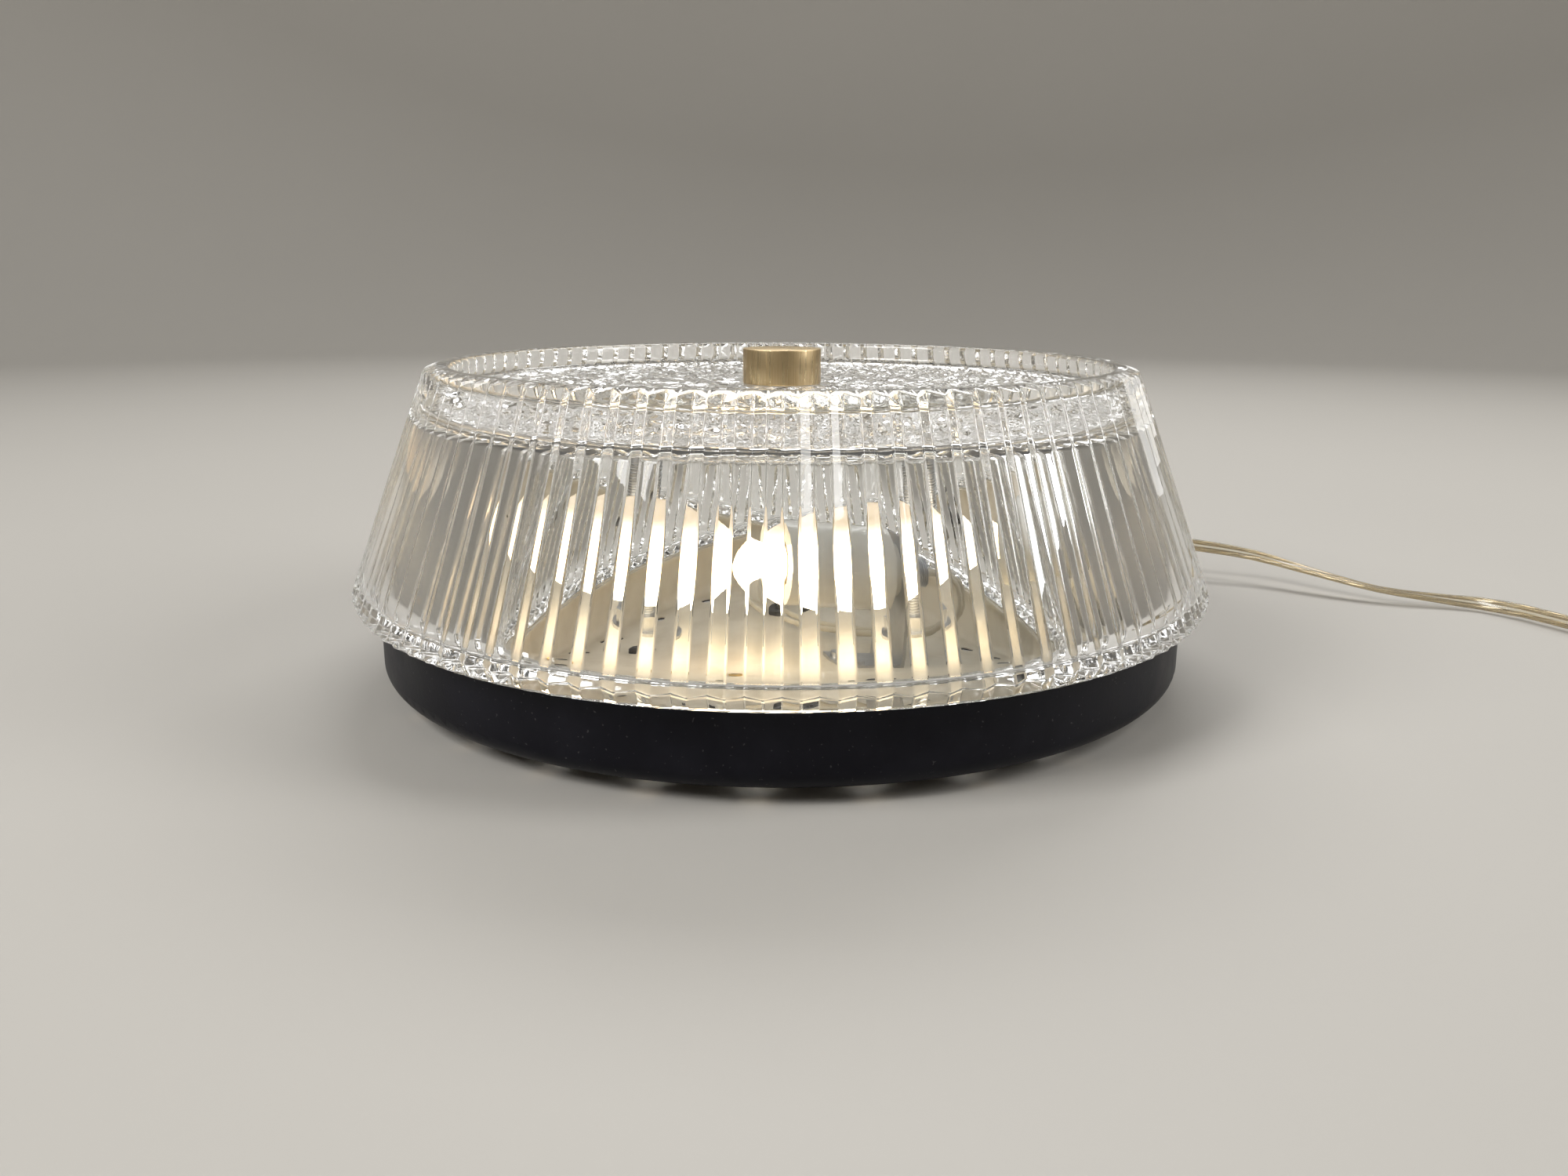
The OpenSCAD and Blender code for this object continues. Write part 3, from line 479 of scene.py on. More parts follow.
def makeThreaded(name, t):
    bpy.ops.mesh.primitive_plane_add(size=2 * mm)
    rod = added(name)
    openEdit(rod)
    pick(rod, "VERT", lambda v: v.x < 0 or v.y < 0)
    bpy.ops.mesh.delete(type="VERT")  # one corner stays
    pickAll()
    bpy.ops.transform.translate(value=((t["rootR"] - 1) * mm, -mm, (t["low"] - t["pitch"]) * mm))
    deep, side = (t["r"] - t["rootR"]) * mm, (t["pitch"] - t["crest"]) / 2 * mm
    for step in ((deep, 0, side), (0, 0, t["crest"] * mm), (-deep, 0, side)):
        bpy.ops.mesh.extrude_vertices_move(TRANSFORM_OT_translate={"value": step})
    shut()
    turns = math.ceil((t["high"] - t["low"]) / t["pitch"]) + 2
    shape(rod, "SCREW", axis="Z", angle=2 * math.pi, screw_offset=t["pitch"] * mm, iterations=turns,
          steps=t["sides"], render_steps=t["sides"])
    cleanUp(rod)
    openEdit(rod)
    for end, clear in (("low", "clear_inner"), ("high", "clear_outer")):
        pickAll()
        bpy.ops.mesh.bisect(plane_co=(0, 0, t[end] * mm), plane_no=(0, 0, 1), use_fill=True,
                            threshold=weldGap, **{clear: True})
    shut()
    cleanUp(rod)
    if "boreR" in t:  # bored through for the wires
        bpy.ops.mesh.primitive_cylinder_add(vertices=t["boreSides"], radius=t["boreR"] * mm,
                                            depth=4 * t["high"] * mm)
        drill = added("drill")
        shape(rod, "BOOLEAN", operation="DIFFERENCE", object=drill, solver="EXACT")
        bpy.data.objects.remove(drill)
        standAt(rod, t["at"], t["turn"])
        cleanUp(rod)
    smoothBelow(rod, 30)
    return lead(rod, "base", "zinc_steel", t["node"])


rod = makeThreaded("threadedRod", threadedRod)
nipple = makeThreaded("threadedNipple", threadedNipple)


# bulb: candle shape lying along X in front of the rod
candleBulb = {"mouth": (30, -28, 40), "turn": (0, -90, 0), "neckR": 5.35, "r": 17.5, "widest": 0.45,
              "tipBend": 0.5, "length": 78, "in": 5, "steps": 40, "crowd": 1.35, "tip": (0.6, 77.98),
              "sides": 64, "smooth": 50}


def makeBulb(b):
    def radius(u):
        if u < b["widest"]:
            return b["neckR"] + (b["r"] - b["neckR"]) * (1 - math.cos(math.pi * u / b["widest"])) / 2
        tip = math.cos(math.pi / 2 * (u - b["widest"]) / (1 - b["widest"]))
        return b["r"] * max(tip, 0) ** b["tipBend"]

    shares = [1 - (1 - i / b["steps"]) ** b["crowd"] for i in range(b["steps"])]
    profile = [(b["neckR"], -b["in"])] + [(radius(u), u * b["length"]) for u in shares] + [b["tip"]]
    bulb = turned("bulbEnvelope", profile, b["sides"], b["smooth"])
    standAt(bulb, b["mouth"], b["turn"])
    return lead(bulb, "bulb", "bulb_frost", "bulb_glass")


bulb = makeBulb(candleBulb)
print("nut, rod, nipple and bulb made")


# tapered cord sleeve with bending grooves, along the cord's way out
cordSleeve = {"exit": 45, "z": 14, "in": 129.67, "inR": 6.2, "inBore": 2.9, "chamfer": 0.4, "lipR": 7.0,
              "lip": 2.0, "lipRound": 0.6, "neckR": 5.0, "out": 131.6, "rootR": 5.4, "tipR": 3.6,
              "tipBore": 2.7, "tail": 22.0, "grooves": 6, "plain": (1.0, 2.0),
              "groove": ((0, 0), (0.48, 0), (0.54, 0.7), (0.94, 0.7)), "sides": 40, "smooth": 35}


def makeSleeve(s):
    inner, outer, start = s["in"] - s["lip"], s["out"], s["out"] + s["lip"]
    end = start + s["tail"]
    profile = [(s["inBore"], inner), (s["inR"] - s["chamfer"], inner), (s["inR"], inner + s["chamfer"]),
               (s["inR"], s["in"]), (s["neckR"], s["in"]), (s["neckR"], outer), (s["lipR"], outer),
               (s["lipR"], start - s["lipRound"]), (s["lipR"] - s["lipRound"], start),
               (s["rootR"] + 0.3, start)]
    step = (s["tail"] - sum(s["plain"])) / s["grooves"]
    for i in range(s["grooves"]):
        for share, sink in s["groove"]:
            x = s["plain"][0] + (i + share) * step
            profile.append((s["rootR"] + (s["tipR"] - s["rootR"]) * x / s["tail"] - sink, start + x))
    profile += [(s["tipR"] + 0.15, end - s["plain"][1]), (s["tipR"], end - 0.5), (s["tipR"] - 0.5, end),
                (s["tipBore"], end)]
    sleeve = turned("cordSleeve", profile, s["sides"], s["smooth"])
    standAt(sleeve, (0, 0, s["z"]), (0, 90, s["exit"]))
    return lead(sleeve, "base", "black_rubber", "cord_sleeve")


sleeve = makeSleeve(cordSleeve)


# plug: a block narrowed to its neck, rounded, with a sunk grip on both broad sides and a ringed tail
mainsPlug = {"at": (386, 22, 6.85), "turn": (-90, 0, 0), "tail": 20, "length": 36, "width": 35, "neck": 14,
             "thick": 13.7, "waistAt": 0.45, "neckThin": 0.86, "corner": 2.4, "gripAt": 0.4, "gripIn": 2.2,
             "gripStep": 0.8, "gripDepth": 0.7, "edge": 0.25, "tipR": 3.2, "tailR": 4.5, "tailBore": 2.4,
             "rings": 6, "ringFrom": 1.2, "ringStep": 3.0,
             "ring": ((0, 0), (0.05, 1.5), (-0.6, 1.7), (-0.55, 2.8)), "rootIn": 1.2, "rootOut": 0.6,
             "rootWider": 0.9, "pinR": 2.0, "pinPitch": 18.6, "sleeved": 10, "pinTaper": 0.08,
             "pinEnd": (17.6, 18.5, 19), "pinTip": 0.9, "sides": 32, "smooth": 35}


def makePlugBody(p):
    x, y, z = p["at"]
    y0 = y + p["tail"]
    body = addBlock("plugBody", (x, y0 + p["length"] / 2, z), (p["width"], p["length"], p["thick"]))
    openEdit(body)
    pickAll()
    bpy.ops.mesh.bisect(plane_co=(0, (y0 + p["waistAt"] * p["length"]) * mm, 0), plane_no=(0, 1, 0))
    pick(body, "VERT", lambda v: v.y < (y0 + 0.1) * mm)
    widen(p["neck"] / p["width"], 1, p["neckThin"], (x * mm, y0 * mm, z * mm))
    shut()
    bevelled(body, p["corner"], 4, 25)
    openEdit(body)
    pick(body, "FACE", lambda m, n: abs(n.z) > 0.999 and m.y > (y0 + p["gripAt"] * p["length"]) * mm)
    bpy.ops.mesh.inset(thickness=p["gripIn"] * mm, depth=0)
    bpy.ops.mesh.inset(thickness=p["gripStep"] * mm, depth=-p["gripDepth"] * mm)
    shut()
    softEdges(body, p["edge"], 28)
    profile = [(p["tailBore"], 0), (p["tipR"], 0)]
    for i in range(p["rings"]):
        at = p["ringFrom"] + i * p["ringStep"]
        r = p["tipR"] + (p["tailR"] - p["tipR"]) * at / p["tail"]
        profile += [(r + out, at + on) for out, on in p["ring"]]
    profile += [(p["tailR"], p["tail"] - p["rootOut"]),
                (p["tailR"] + p["rootWider"], p["tail"] + p["rootIn"])]
    tail = turned("plugTail", profile, p["sides"], p["smooth"])
    standAt(tail, p["at"], p["turn"])
    return lead(joined(body, tail), "base", "plug_white", "plug_body")


def makePlugPins(p):
    x, y, z = p["at"]
    thin = p["pinR"] - p["pinTaper"]
    bend, nose, end = p["pinEnd"]
    profile = [(p["pinTip"], 0), (p["pinR"], 0), (p["pinR"], p["sleeved"]), (thin, p["sleeved"] + 0.1),
               (thin, bend), (p["pinR"] - 0.5, nose), (p["pinTip"], end)]
    made = []
    for side in (-1, 1):
        pin = turned("plugPin", profile, p["sides"], p["smooth"])
        place = (x + side * p["pinPitch"] / 2, y + p["tail"] + p["length"], z)
        made.append(standAt(pin, place, p["turn"]))
    both = joined(*made)
    both.name = both.data.name = "plugPins"
    return lead(both, "base", "pin_nickel", "plug_pins")


plug, pins = makePlugBody(mainsPlug), makePlugPins(mainsPlug)


# strap round the coil: a band with round corners and its end lapped over
coilTie = {"at": (350, -10), "angle": 115, "in": 21.68, "out": 38.5, "width": 8, "high": 12.65, "thick": 0.6,
           "corner": 2.6, "lap": (11, 7.4, 0.6), "lapFrom": 9.5, "edge": 0.15}


def makeTie(t):
    middle = ((t["out"] + t["in"]) / 2, 0, t["high"] / 2)
    tie = addBlock("coilStrap", middle, (t["out"] - t["in"], t["width"], t["high"]))
    openEdit(tie)
    pick(tie, "FACE", lambda m, n: abs(n.y) > 0.9)
    bpy.ops.mesh.delete(type="FACE")
    pick(tie, "EDGE", lambda a, b: abs(a.y - b.y) > 0.5 * t["width"] * mm)
    bpy.ops.mesh.bevel(offset=t["corner"] * mm, segments=6, affect="EDGES")
    faceOut()
    shut()
    shape(tie, "SOLIDIFY", thickness=t["thick"] * mm, offset=-1)
    lap = addBlock("strapLap", (t["out"] - t["lapFrom"], 0, t["high"] + t["lap"][2] / 2), t["lap"])
    band = joined(tie, lap)
    softEdges(band, t["edge"], 40)
    standAt(band, (*t["at"], 0), (0, 0, t["angle"]))
    return lead(band, "base", "black_plastic", "coil_tie")


strap = makeTie(coilTie)
print("sleeve, plug and strap made")


# wires from the terminals to the lampholder, and the cord's end inside the pan
innerWires = {"r": 1.1, "sides": 14, "steps": 8, "start": 72.0, "step": 6.0, "pole": 5.0, "side": 1.4,
              "reach": 18.0, "z": 14.0, "end": (60, -28, 40), "mouth": (85, -28, 40),
              "live": [(49, 30, 10), (60, 14, 9), (80, 6, 10), (97, -6, 16), (101, -17, 26), (97, -24, 36)],
              "neutral": [(41, 32, 10), (52, 10, 9), (76, 0, 10), (91, -13, 16), (95, -24, 26),
                          (92, -29, 36)],
              "cordFrom": 92.0, "cordTo": 127.7, "cordSteps": 6}


def exitAt(x, y, z):  # along the cord's way out, across it and up
    c = math.cos(math.pi / 4)
    return Vector(((x - y) * c, (x + y) * c, z))


def makeWires(w):
    made = []
    for name, s, node in (("live", -1, "wire_live"), ("neutral", 1, "wire_neutral")):
        aside = Vector((0, s * w["side"], 0))
        end = Vector(w["end"]) - aside
        way = [exitAt(w["start"], s * w["pole"], w["z"]),
               exitAt(w["start"] - w["step"], s * w["pole"], w["z"]), *[Vector(p) for p in w[name]],
               Vector(w["mouth"]) - aside, end + Vector((w["reach"], 0, 0)), end]
        line = [p * mm for p in smoothLine(way, w["steps"])]
        outline = roundOutline(0, w["r"] * mm, w["sides"])
        wire = tubeMesh(name + "Wire", line, [0] * len(line), [(0, outline)],
                        ((-out45[0], -out45[1], 0), (-1, 0, 0)))
        made.append(lead(wire, "base", "wire_sleeving", node))
    step = (w["cordTo"] - w["cordFrom"]) / w["cordSteps"]
    line = [exitAt(w["cordFrom"] + i * step, 0, w["z"]) * mm for i in range(w["cordSteps"] + 1)]
    end = tubeMesh("cordEnd", line, [0] * len(line), cordOutlines, (out45, out45))
    made.append(lead(end, "base", "cord_vinyl", "cord_inner"))
    return made


liveWire, neutralWire, cordEnd = makeWires(innerWires)
print("wires made")


class Wiring:  # one node tree, with short names for the nodes used most
    def __init__(self, tree):
        self.tree = tree

    def put(self, kind, values=None, **settings):  # a node; values are plain numbers or sockets to join
        node = self.tree.nodes.new("ShaderNode" + kind)
        for key, value in settings.items():
            setattr(node, key, value)
        for key, value in (values or {}).items():
            if isinstance(value, bpy.types.NodeSocket):
                self.tree.links.new(value, node.inputs[key])
            else:
                node.inputs[key].default_value = value
        return node

    def sums(self, how, a, b=0.0, c=0.0):
        return self.put("Math", {0: a, 1: b, 2: c}, operation=how).outputs[0]

    def times(self, a, b):
        return self.sums("MULTIPLY", a, b)

    def length(self, vector):
        return self.put("VectorMath", {0: vector}, operation="LENGTH").outputs["Value"]

    def split(self, vector):
        return self.put("SeparateXYZ", {0: vector}).outputs

    def noise(self, vector, scale, detail=2.0, rough=0.5):
        values = {"Vector": vector, "Scale": scale, "Detail": detail, "Roughness": rough}
        return self.put("TexNoise", values).outputs["Fac"]

    def ramp(self, value, low, high, toLow=0.0, toHigh=1.0):
        values = {"Value": value, "From Min": low, "From Max": high, "To Min": toLow, "To Max": toHigh}
        return self.put("MapRange", values, interpolation_type="SMOOTHSTEP").outputs["Result"]

    def tone(self, share, a, b):
        a, b = ((*c, 1) if isinstance(c, tuple) else c for c in (a, b))
        return self.put("Mix", {0: share, 6: a, 7: b}, data_type="RGBA").outputs[2]

    def stretch(self, vector, scale, turn=(0, 0, 0)):
        values = {"Vector": vector, "Scale": scale, "Rotation": [math.radians(a) for a in turn]}
        return self.put("Mapping", values).outputs["Vector"]


def newGroup(name, outputs):
    tree = bpy.data.node_groups.new(name, "ShaderNodeTree")
    for label, kind in (("Vector", "Vector"), ("Scale", "Float")):
        tree.interface.new_socket(name=label, in_out="INPUT", socket_type="NodeSocket" + kind)
    for label in outputs:
        tree.interface.new_socket(name=label, in_out="OUTPUT", socket_type="NodeSocketFloat")
    return Wiring(tree), tree.nodes.new("NodeGroupInput").outputs, tree.nodes.new("NodeGroupOutput").inputs


# handling marks that most finishes share
surfaceMarks = {"smudge": (38, 5, 0.6), "smudgeSpan": (0.36, 0.68), "speck": (950, 1),
                "speckSpan": (0.71, 0.78), "scratch": (26, 300, 210), "scratchTurn": (20, 35, 50),
                "scratchWidth": 0.012, "patch": (60, 1), "patchSpan": (0.56, 0.7)}


def makeMarks(s):
    t, given, out = newGroup("surfaceMarks", ["Smudge", "Speck", "Scratch"])
    values = {0: given["Vector"], "Scale": given["Scale"]}
    place = t.put("VectorMath", values, operation="SCALE").outputs[0]
    wander = t.noise(t.stretch(place, s["scratch"], s["scratchTurn"]), 1.0, 1)
    line = t.sums("ABSOLUTE", t.sums("SUBTRACT", wander, 0.5))
    patch = t.ramp(t.noise(place, *s["patch"]), *s["patchSpan"])
    made = {"Smudge": t.ramp(t.noise(place, *s["smudge"]), *s["smudgeSpan"]),
            "Speck": t.ramp(t.noise(place, *s["speck"]), *s["speckSpan"]),
            "Scratch": t.times(t.ramp(line, 0.0, s["scratchWidth"], 1.0, 0.0), patch)}
    for label, value in made.items():
        t.tree.links.new(value, out[label])
    return t.tree


def makeGrain():  # fine lines or pits, by how far the vector is stretched first
    t, given, out = newGroup("fineGrain", ["Grain"])
    t.tree.links.new(t.noise(given["Vector"], given["Scale"], 4, 0.65), out["Grain"])
    return t.tree


marksGroup, grainGroup = makeMarks(surfaceMarks), makeGrain()


class Finish(Wiring):  # one material being made: its tree, its shader and its place on the piece
    def __init__(self, name, **plain):
        self.material = bpy.data.materials.new(name)
        self.material.use_nodes = True
        super().__init__(self.material.node_tree)
        self.shader = self.tree.nodes["Principled BSDF"]
        self.place = self.put("TexCoord").outputs["Object"]
        for key, value in plain.items():
            self.shader.inputs[key.replace("_", " ")].default_value = value

    def marks(self, scale=1.0):
        return self.put("Group", {"Vector": self.place, "Scale": scale}, node_tree=marksGroup).outputs

    def grain(self, vector, scale):
        return self.put("Group", {"Vector": vector, "Scale": scale}, node_tree=grainGroup).outputs["Grain"]

    def away(self):  # distance from the upright axis
        flat = self.put("VectorMath", {0: self.place, 1: (1, 1, 0)}, operation="MULTIPLY").outputs[0]
        return self.length(flat)

    def run(self):  # along a cord or wire, and round it
        return self.put("UVMap", uv_map="run").outputs["UV"]

    def feed(self, socket, value):
        self.tree.links.new(value, self.shader.inputs[socket])

    def roughen(self, rough, *marks):  # each mark with how much rougher it makes the surface
        for mark, much in marks:
            rough = self.sums("MULTIPLY_ADD", mark, much, rough)
        self.feed("Roughness", rough)

    def bump(self, height, strength, depth, under=None):
        values = {"Strength": strength, "Distance": depth * mm, "Height": height}
        if under is not None:
            values["Normal"] = under
        normal = self.put("Bump", values).outputs["Normal"]
        self.feed("Normal", normal)
        return normal


# black lacquer outside the pan, cream enamel inside it
panFinish = {"black": (0.006, 0.006, 0.0095), "worn": (0.011, 0.011, 0.016), "bare": (0.06, 0.06, 0.065),
             "dust": (0.32, 0.31, 0.3), "cream": (0.80, 0.745, 0.63), "shaded": (0.70, 0.64, 0.52),
             "bendAt": (125.5, 10.0), "bendR": 5.4, "edgeZ": (4.6, 5.6), "chips": (220, 3),
             "chipSpan": (0.5, 0.66), "chipShare": 0.5, "dustShare": 0.12, "rough": 0.36, "rub": 0.1,
             "scratch": 0.08, "grain": 620, "bump": (0.25, 0.12)}


def paintPan(p):
    f = Finish("panLacquer", IOR=1.45, Specular_IOR_Level=0.13)
    z = f.split(f.place)["Z"]
    over = f.sums("MAXIMUM", f.sums("SUBTRACT", f.away(), p["bendAt"][0] * mm))  # past the corner's centre
    under = f.sums("MAXIMUM", f.sums("SUBTRACT", p["bendAt"][1] * mm, z))
    reach = f.length(f.put("CombineXYZ", {"X": over, "Y": under}).outputs[0])
    inside = f.sums("LESS_THAN", reach, p["bendR"] * mm)
    m = f.marks()
    low, high = (e * mm for e in p["edgeZ"])
    edge = f.times(f.ramp(z, low, high, 1.0, 0.0), f.ramp(f.noise(f.place, *p["chips"]), *p["chipSpan"]))
    outer = f.tone(m["Smudge"], p["black"], p["worn"])
    outer = f.tone(f.times(edge, p["chipShare"]), outer, p["bare"])
    outer = f.tone(f.times(m["Speck"], p["dustShare"]), outer, p["dust"])
    inner = f.tone(m["Smudge"], p["cream"], p["shaded"])
    f.feed("Base Color", f.tone(inside, outer, inner))
    f.roughen(p["rough"], (m["Smudge"], p["rub"]), (m["Scratch"], p["scratch"]))
    f.bump(f.grain(f.place, p["grain"]), *p["bump"])
    return f.material


# clear pressed glass: faint draw lines down the ribs, a fine ripple on the panel
glassFinish = {"clear": (0.995, 0.995, 0.99), "greener": (0.97, 0.98, 0.97), "marks": 0.8, "smudge": 0.012,
               "speck": 0.05, "draw": (520, 520, 16), "drawBump": (0.08, 0.08), "ripple": 420.0,
               "rippleDepth": 0.04, "panelR": (102.8, 104.0), "panelZ": 86.2}


def paintGlass(g):
    f = Finish("pressedGlass", IOR=1.52, Transmission_Weight=1.0)
    m = f.marks(g["marks"])
    low, high = (r * mm for r in g["panelR"])
    above = f.sums("GREATER_THAN", f.split(f.place)["Z"], g["panelZ"] * mm)
    panel = f.times(f.ramp(f.away(), low, high, 1.0, 0.0), above)
    f.feed("Base Color", f.tone(m["Smudge"], g["clear"], g["greener"]))
    f.roughen(0.0, (m["Smudge"], g["smudge"]), (m["Speck"], g["speck"]))
    first = f.bump(f.noise(f.stretch(f.place, g["draw"]), 1.0), *g["drawBump"])
    f.bump(f.times(f.noise(f.place, g["ripple"]), panel), 1.0, g["rippleDepth"], first)
    return f.material


# satin brass: upright brush lines on the side, turning rings on the top
brassFinish = {"pale": (0.74, 0.59, 0.36), "deep": (0.58, 0.43, 0.23), "topZ": 105.3, "upright": 1500.0,
               "long": (1, 1, 0.022), "rings": 2600.0, "lineSpan": (0.34, 0.66), "marks": 1.4,
               "lineShare": 0.65, "smudgeShare": 0.35, "rough": 0.21, "lineRough": 0.16, "rub": 0.06,
               "bump": (0.8, 0.045)}


def paintBrass(b):
    f = Finish("satinBrass", Metallic=1.0, Anisotropic=0.35)
    upright = f.grain(f.stretch(f.place, b["long"]), b["upright"])
    ring = f.grain(f.put("CombineXYZ", {"X": f.away()}).outputs[0], b["rings"])
    top = f.sums("GREATER_THAN", f.split(f.place)["Z"], b["topZ"] * mm)
    lines = f.sums("ADD", f.times(upright, f.sums("SUBTRACT", 1.0, top)), f.times(ring, top))
    lines = f.ramp(lines, *b["lineSpan"])
    m = f.marks(b["marks"])
    share = f.sums("MULTIPLY_ADD", m["Smudge"], b["smudgeShare"], f.times(lines, b["lineShare"]))
    f.feed("Base Color", f.tone(share, b["pale"], b["deep"]))
    f.roughen(b["rough"], (lines, b["lineRough"]), (m["Smudge"], b["rub"]))
    f.bump(lines, *b["bump"])
    return f.material


# frosted bulb, lit: hottest round the filament, dimmer on the side towards the panel
bulbFinish = {"hot": (1.0, 0.90, 0.70), "end": (1.0, 0.66, 0.33), "crown": (0.10, 0.073, 0.042),
              "pale": (0.93, 0.9, 0.84), "dark": (0.86, 0.82, 0.75), "centre": (-6, -28, 40),
              "reach": (12, 46), "crownZ": (42, 54), "strength": 6.0, "marks": 2.0, "rough": 0.42,
              "rub": 0.15, "grain": 1500, "bump": (0.2, 0.05)}


def paintBulb(b):
    f = Finish("litFrost", Emission_Strength=b["strength"], IOR=1.45)
    centre = [c * mm for c in b["centre"]]
    away = f.put("VectorMath", {0: f.place, 1: centre}, operation="DISTANCE").outputs["Value"]
    m = f.marks(b["marks"])
    glow = f.tone(f.ramp(away, *[c * mm for c in b["reach"]]), b["hot"], b["end"])
    rise = f.ramp(f.split(f.place)["Z"], *[c * mm for c in b["crownZ"]])
    f.feed("Emission Color", f.tone(rise, glow, b["crown"]))
    f.feed("Base Color", f.tone(m["Smudge"], b["pale"], b["dark"]))
    f.roughen(b["rough"], (m["Smudge"], b["rub"]))
    f.bump(f.grain(f.place, b["grain"]), *b["bump"])
    return f.material


# see-through cord skin over two cores of fine strands
cordFinish = {"skin": (0.96, 0.92, 0.80), "aged": (0.92, 0.85, 0.68), "marks": 1.5, "rough": 0.1,
              "rub": 0.12, "waves": (60, 8, 1), "waveBump": (0.25, 0.2), "copper": (0.74, 0.59, 0.38),
              "tinned": (0.80, 0.72, 0.54), "lay": 90.0, "strands": 7.0, "strandRough": (0.25, 0.2),
              "strandBump": (1.0, 0.2)}


def paintCord(c):
    f = Finish("clearVinyl", IOR=1.47, Transmission_Weight=0.88)
    m = f.marks(c["marks"])
    f.feed("Base Color", f.tone(m["Smudge"], c["skin"], c["aged"]))
    f.roughen(c["rough"], (m["Smudge"], c["rub"]))
    f.bump(f.noise(f.stretch(f.run(), c["waves"]), 1.0, 3), *c["waveBump"])
    core = Finish("strandCore", Metallic=1.0)
    run = core.split(core.run())
    lay = core.sums("ADD", core.times(run["X"], c["lay"]), core.times(run["Y"], c["strands"]))
    strand = core.sums("PINGPONG", lay, 0.5)
    core.feed("Base Color", core.tone(core.times(strand, 2.0), c["copper"], c["tinned"]))
    core.roughen(c["strandRough"][0], (strand, c["strandRough"][1]))
    core.bump(strand, *c["strandBump"])
    return f.material, core.material


# heat-proof sleeving on the wires: two sets of threads that cross round the tube
wireSleeving = {"pale": (0.72, 0.67, 0.55), "dark": (0.56, 0.50, 0.39), "turns": 420.0, "threads": 8.0,
                "marks": 2.0, "smudge": 0.4, "rough": 0.6, "rub": 0.15, "bump": (0.8, 0.12)}


def paintSleeving(w):
    f = Finish("wovenSleeving", Sheen_Weight=0.15)
    run = f.split(f.run())
    along, across = f.times(run["X"], w["turns"]), f.times(run["Y"], w["threads"])
    over = f.sums("PINGPONG", f.sums("ADD", along, across), 0.5)
    back = f.sums("PINGPONG", f.sums("SUBTRACT", along, across), 0.5)
    weave = f.sums("MAXIMUM", over, back)
    m = f.marks(w["marks"])
    share = f.sums("MULTIPLY_ADD", m["Smudge"], w["smudge"], f.sums("SUBTRACT", 0.5, weave))
    f.feed("Base Color", f.tone(share, w["pale"], w["dark"]))
    f.roughen(w["rough"], (m["Smudge"], w["rub"]))
    f.bump(weave, *w["bump"])
    return f.material


# plug pins: bare metal ends, black sleeves next to the plug
pinFinish = {"bareFrom": 88.1, "pale": (0.74, 0.73, 0.70), "dark": (0.58, 0.57, 0.55),
             "black": (0.03, 0.03, 0.03), "worn": (0.045, 0.045, 0.045), "marks": 2.5, "rough": 0.42,
             "bareGloss": -0.22, "scratch": 0.2, "long": (1, 0.05, 1), "grain": 1800, "bump": (0.3, 0.03)}


def paintPins(p):
    f = Finish("pinMetal")
    bare = f.sums("GREATER_THAN", f.split(f.place)["Y"], p["bareFrom"] * mm)
    m = f.marks(p["marks"])
    metal = f.tone(m["Smudge"], p["pale"], p["dark"])
    f.feed("Base Color", f.tone(bare, f.tone(m["Smudge"], p["black"], p["worn"]), metal))
    f.feed("Metallic", bare)
    f.roughen(p["rough"], (bare, p["bareGloss"]), (m["Scratch"], p["scratch"]))
    f.bump(f.grain(f.stretch(f.place, p["long"]), p["grain"]), *p["bump"])
    return f.material


# woven band: over and under in small steps
strapFinish = {"dark": (0.022, 0.022, 0.024), "pale": (0.075, 0.074, 0.072), "turn": (0, 0, -115),
               "weave": 1500.0, "thread": (400, 2200, 2200), "marks": 2.0, "rough": 0.72, "rub": 0.1,
               "over": 0.6, "bump": (0.6, 0.15)}


def paintStrap(s):
    f = Finish("wovenStrap")
    straight = f.stretch(f.place, (1, 1, 1), s["turn"])
    weave = f.put("TexChecker", {"Vector": straight, "Scale": s["weave"]}).outputs["Fac"]
    m = f.marks(s["marks"])
    thread = f.noise(f.stretch(straight, s["thread"]), 1.0)
    f.feed("Base Color", f.tone(f.times(weave, thread), s["dark"], s["pale"]))
    f.roughen(s["rough"], (m["Smudge"], s["rub"]))
    f.bump(f.sums("MULTIPLY_ADD", weave, s["over"], thread), *s["bump"])
    return f.material


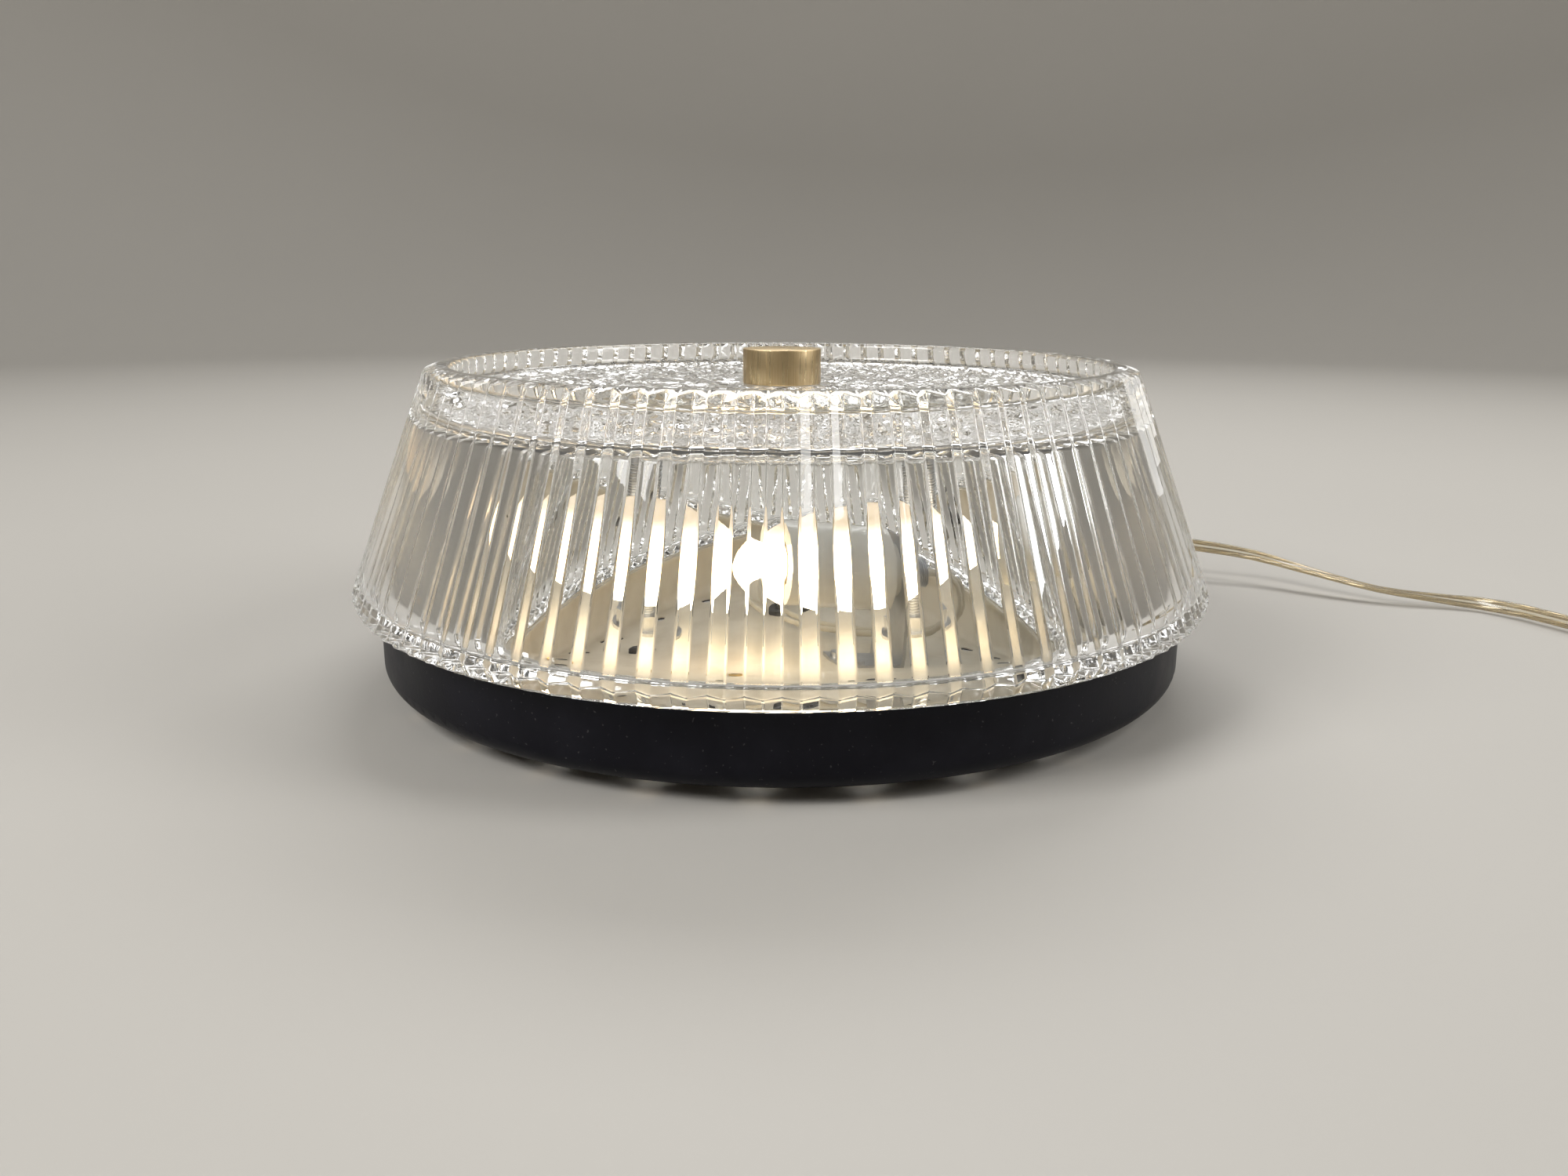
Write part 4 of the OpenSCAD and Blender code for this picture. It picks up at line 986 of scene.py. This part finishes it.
# the other slots: name, two near tones, roughness, scale and depth of the grain, metal, rub and coat
plainFinishes = {
    "zinc_steel": ("zincPlate", (0.63, 0.64, 0.66), (0.50, 0.51, 0.52), 0.28, 900, 0.04, 1.0),
    "contact_brass": ("bareBrass", (0.72, 0.52, 0.22), (0.50, 0.33, 0.13), 0.25, 1100, 0.04, 1.0),
    "white_ceramic": ("glazedWhite", (0.84, 0.82, 0.75), (0.76, 0.73, 0.65), 0.12, 260, 0.12, 0.0, 0.1, 0.4),
    "black_rubber": ("mattRubber", (0.022, 0.022, 0.022), (0.04, 0.039, 0.038), 0.62, 1600, 0.1),
    "black_plastic": ("mouldedBlack", (0.028, 0.028, 0.03), (0.045, 0.045, 0.047), 0.42, 1300, 0.06),
    "washer_plastic": ("fibreWasher", (0.66, 0.63, 0.55), (0.50, 0.47, 0.40), 0.6, 1400, 0.08),
    "pale_silicone": ("paleSilicone", (0.74, 0.71, 0.63), (0.66, 0.62, 0.53), 0.5, 1500, 0.06),
    "cap_metal": ("bulbCap", (0.72, 0.70, 0.66), (0.58, 0.56, 0.52), 0.26, 900, 0.03, 1.0),
    "filament_wire": ("filamentWire", (0.38, 0.38, 0.39), (0.25, 0.25, 0.26), 0.35, 3000, 0.02, 1.0),
    "plug_white": ("mouldedWhite", (0.80, 0.775, 0.71), (0.72, 0.69, 0.61), 0.3, 1100, 0.06)}
plainMarks = {"dust": (0.55, 0.53, 0.5), "dustShare": 0.25, "scratch": 0.15, "bump": 0.35}


def plainFinish(p, name, pale, dark, rough, grainScale, grainDepth, metal=0.0, rub=0.12, coat=0.0):
    f = Finish(name, Metallic=metal, Coat_Weight=coat)
    m = f.marks()
    colour = f.tone(m["Smudge"], pale, dark)
    f.feed("Base Color", f.tone(f.times(m["Speck"], p["dustShare"]), colour, p["dust"]))
    f.roughen(rough, (m["Smudge"], rub), (m["Scratch"], p["scratch"]))
    f.bump(f.grain(f.place, grainScale), p["bump"], grainDepth)
    return f.material


slotFinishes = {slot: plainFinish(plainMarks, *values) for slot, values in plainFinishes.items()}
slotFinishes["black_lacquer"] = paintPan(panFinish)
slotFinishes["clear_glass"] = paintGlass(glassFinish)
slotFinishes["satin_brass"] = paintBrass(brassFinish)
slotFinishes["bulb_frost"] = paintBulb(bulbFinish)
slotFinishes["wire_sleeving"] = paintSleeving(wireSleeving)
slotFinishes["pin_nickel"] = paintPins(pinFinish)
slotFinishes["cord_vinyl"], strandCore = paintCord(cordFinish)


def dress(piece, *finishes):
    piece.data.materials.clear()
    for f in finishes:
        piece.data.materials.append(f)


for part in frame["record"]["subparts"]:  # CAD nodes that stay
    for place in nodes[part["node"]].material_slots:
        place.material = slotFinishes[part["material_slot"]]
for piece, slot in ((shade, "clear_glass"), (nut, "satin_brass"), (rod, "zinc_steel"),
                    (nipple, "zinc_steel"), (bulb, "bulb_frost"), (sleeve, "black_rubber"),
                    (plug, "plug_white"), (pins, "pin_nickel"), (liveWire, "wire_sleeving"),
                    (neutralWire, "wire_sleeving")):
    dress(piece, slotFinishes[slot])
dress(strap, paintStrap(strapFinish))
for piece in (cord, cordEnd):  # skin and cores keep their own faces
    kinds = [face.material_index for face in piece.data.polygons]
    dress(piece, slotFinishes["cord_vinyl"], strandCore)
    for face, kind in zip(piece.data.polygons, kinds):
        face.material_index = kind
print("finishes:", len(bpy.data.materials))


# plain pale floor swept up all round, and soft light from three sides
studio = {"floor": (0.60, 0.575, 0.53), "darker": 0.96, "clouds": (3.0, 3), "rough": 0.62, "start": 0.02,
          "near": 0.3, "flat": 1.7, "sweep": 0.7, "sweepSteps": 16, "wall": 2.3, "sides": 128, "world": 0.10,
          "worldTone": (1, 0.98, 0.95, 1)}
softBoxes = {"keyBox": {"place": (-1.1, -0.7, 1.2), "aim": (0, 0, 0.05), "size": (0.8, 0.8), "power": 18},
             "sideBox": {"place": (1.3, -0.3, 0.9), "aim": (0, 0, 0.05), "size": (0.5, 1.0), "power": 10.5},
             "backBox": {"place": (0.2, 1.1, 1.3), "aim": (0, 0.1, 0.05), "size": (1.4, 0.5), "power": 12}}


def makeFloor(s):
    angles = [math.pi / 2 * k / s["sweepSteps"] for k in range(1, s["sweepSteps"] + 1)]
    bend = [(s["flat"] + s["sweep"] * math.sin(a), s["sweep"] * (1 - math.cos(a))) for a in angles]
    profile = [(s["start"], 0), (s["near"], 0), (s["flat"], 0), *bend, (s["flat"] + s["sweep"], s["wall"])]
    bpy.ops.mesh.primitive_circle_add(vertices=s["sides"], radius=s["start"], fill_type="NGON")
    floor = added("floor")
    openEdit(floor)
    for (r0, z0), (r1, z1) in zip(profile, profile[1:]):
        pick(floor, "EDGE", lambda a, b: max(abs(v.to_2d().length - r0) + abs(v.z - z0)
                                             for v in (a, b)) < 1e-4)
        bpy.ops.mesh.extrude_edges_move(TRANSFORM_OT_translate={"value": (0, 0, z1 - z0)})
        widen(r1 / r0, r1 / r0, 1)
    pickAll()
    bpy.ops.mesh.normals_make_consistent(inside=True)
    shut()
    smoothBelow(floor, 40)
    paint = Finish("floorPaint", Roughness=s["rough"])
    cloudy = paint.noise(paint.place, *s["clouds"])
    paint.feed("Base Color", paint.tone(cloudy, s["floor"], tuple(c * s["darker"] for c in s["floor"])))
    dress(floor, paint.material)


def makeWorld(s):
    world = bpy.data.worlds.new("studioWorld")
    bpy.context.scene.world = world
    world.use_nodes = True
    background = world.node_tree.nodes["Background"].inputs
    background["Color"].default_value = s["worldTone"]
    background["Strength"].default_value = s["world"]


def addSoftBox(name, b):
    bpy.ops.object.light_add(type="AREA", location=b["place"])
    lamp = bpy.context.object
    lamp.name = name
    lamp.data.shape = "RECTANGLE"
    lamp.data.size, lamp.data.size_y = b["size"]
    lamp.data.energy = b["power"]
    lamp.rotation_euler = (Vector(b["aim"]) - Vector(b["place"])).to_track_quat("-Z", "Y").to_euler()


makeFloor(studio)
makeWorld(studio)
for name, box in softBoxes.items():
    addSoftBox(name, box)
print("light set")
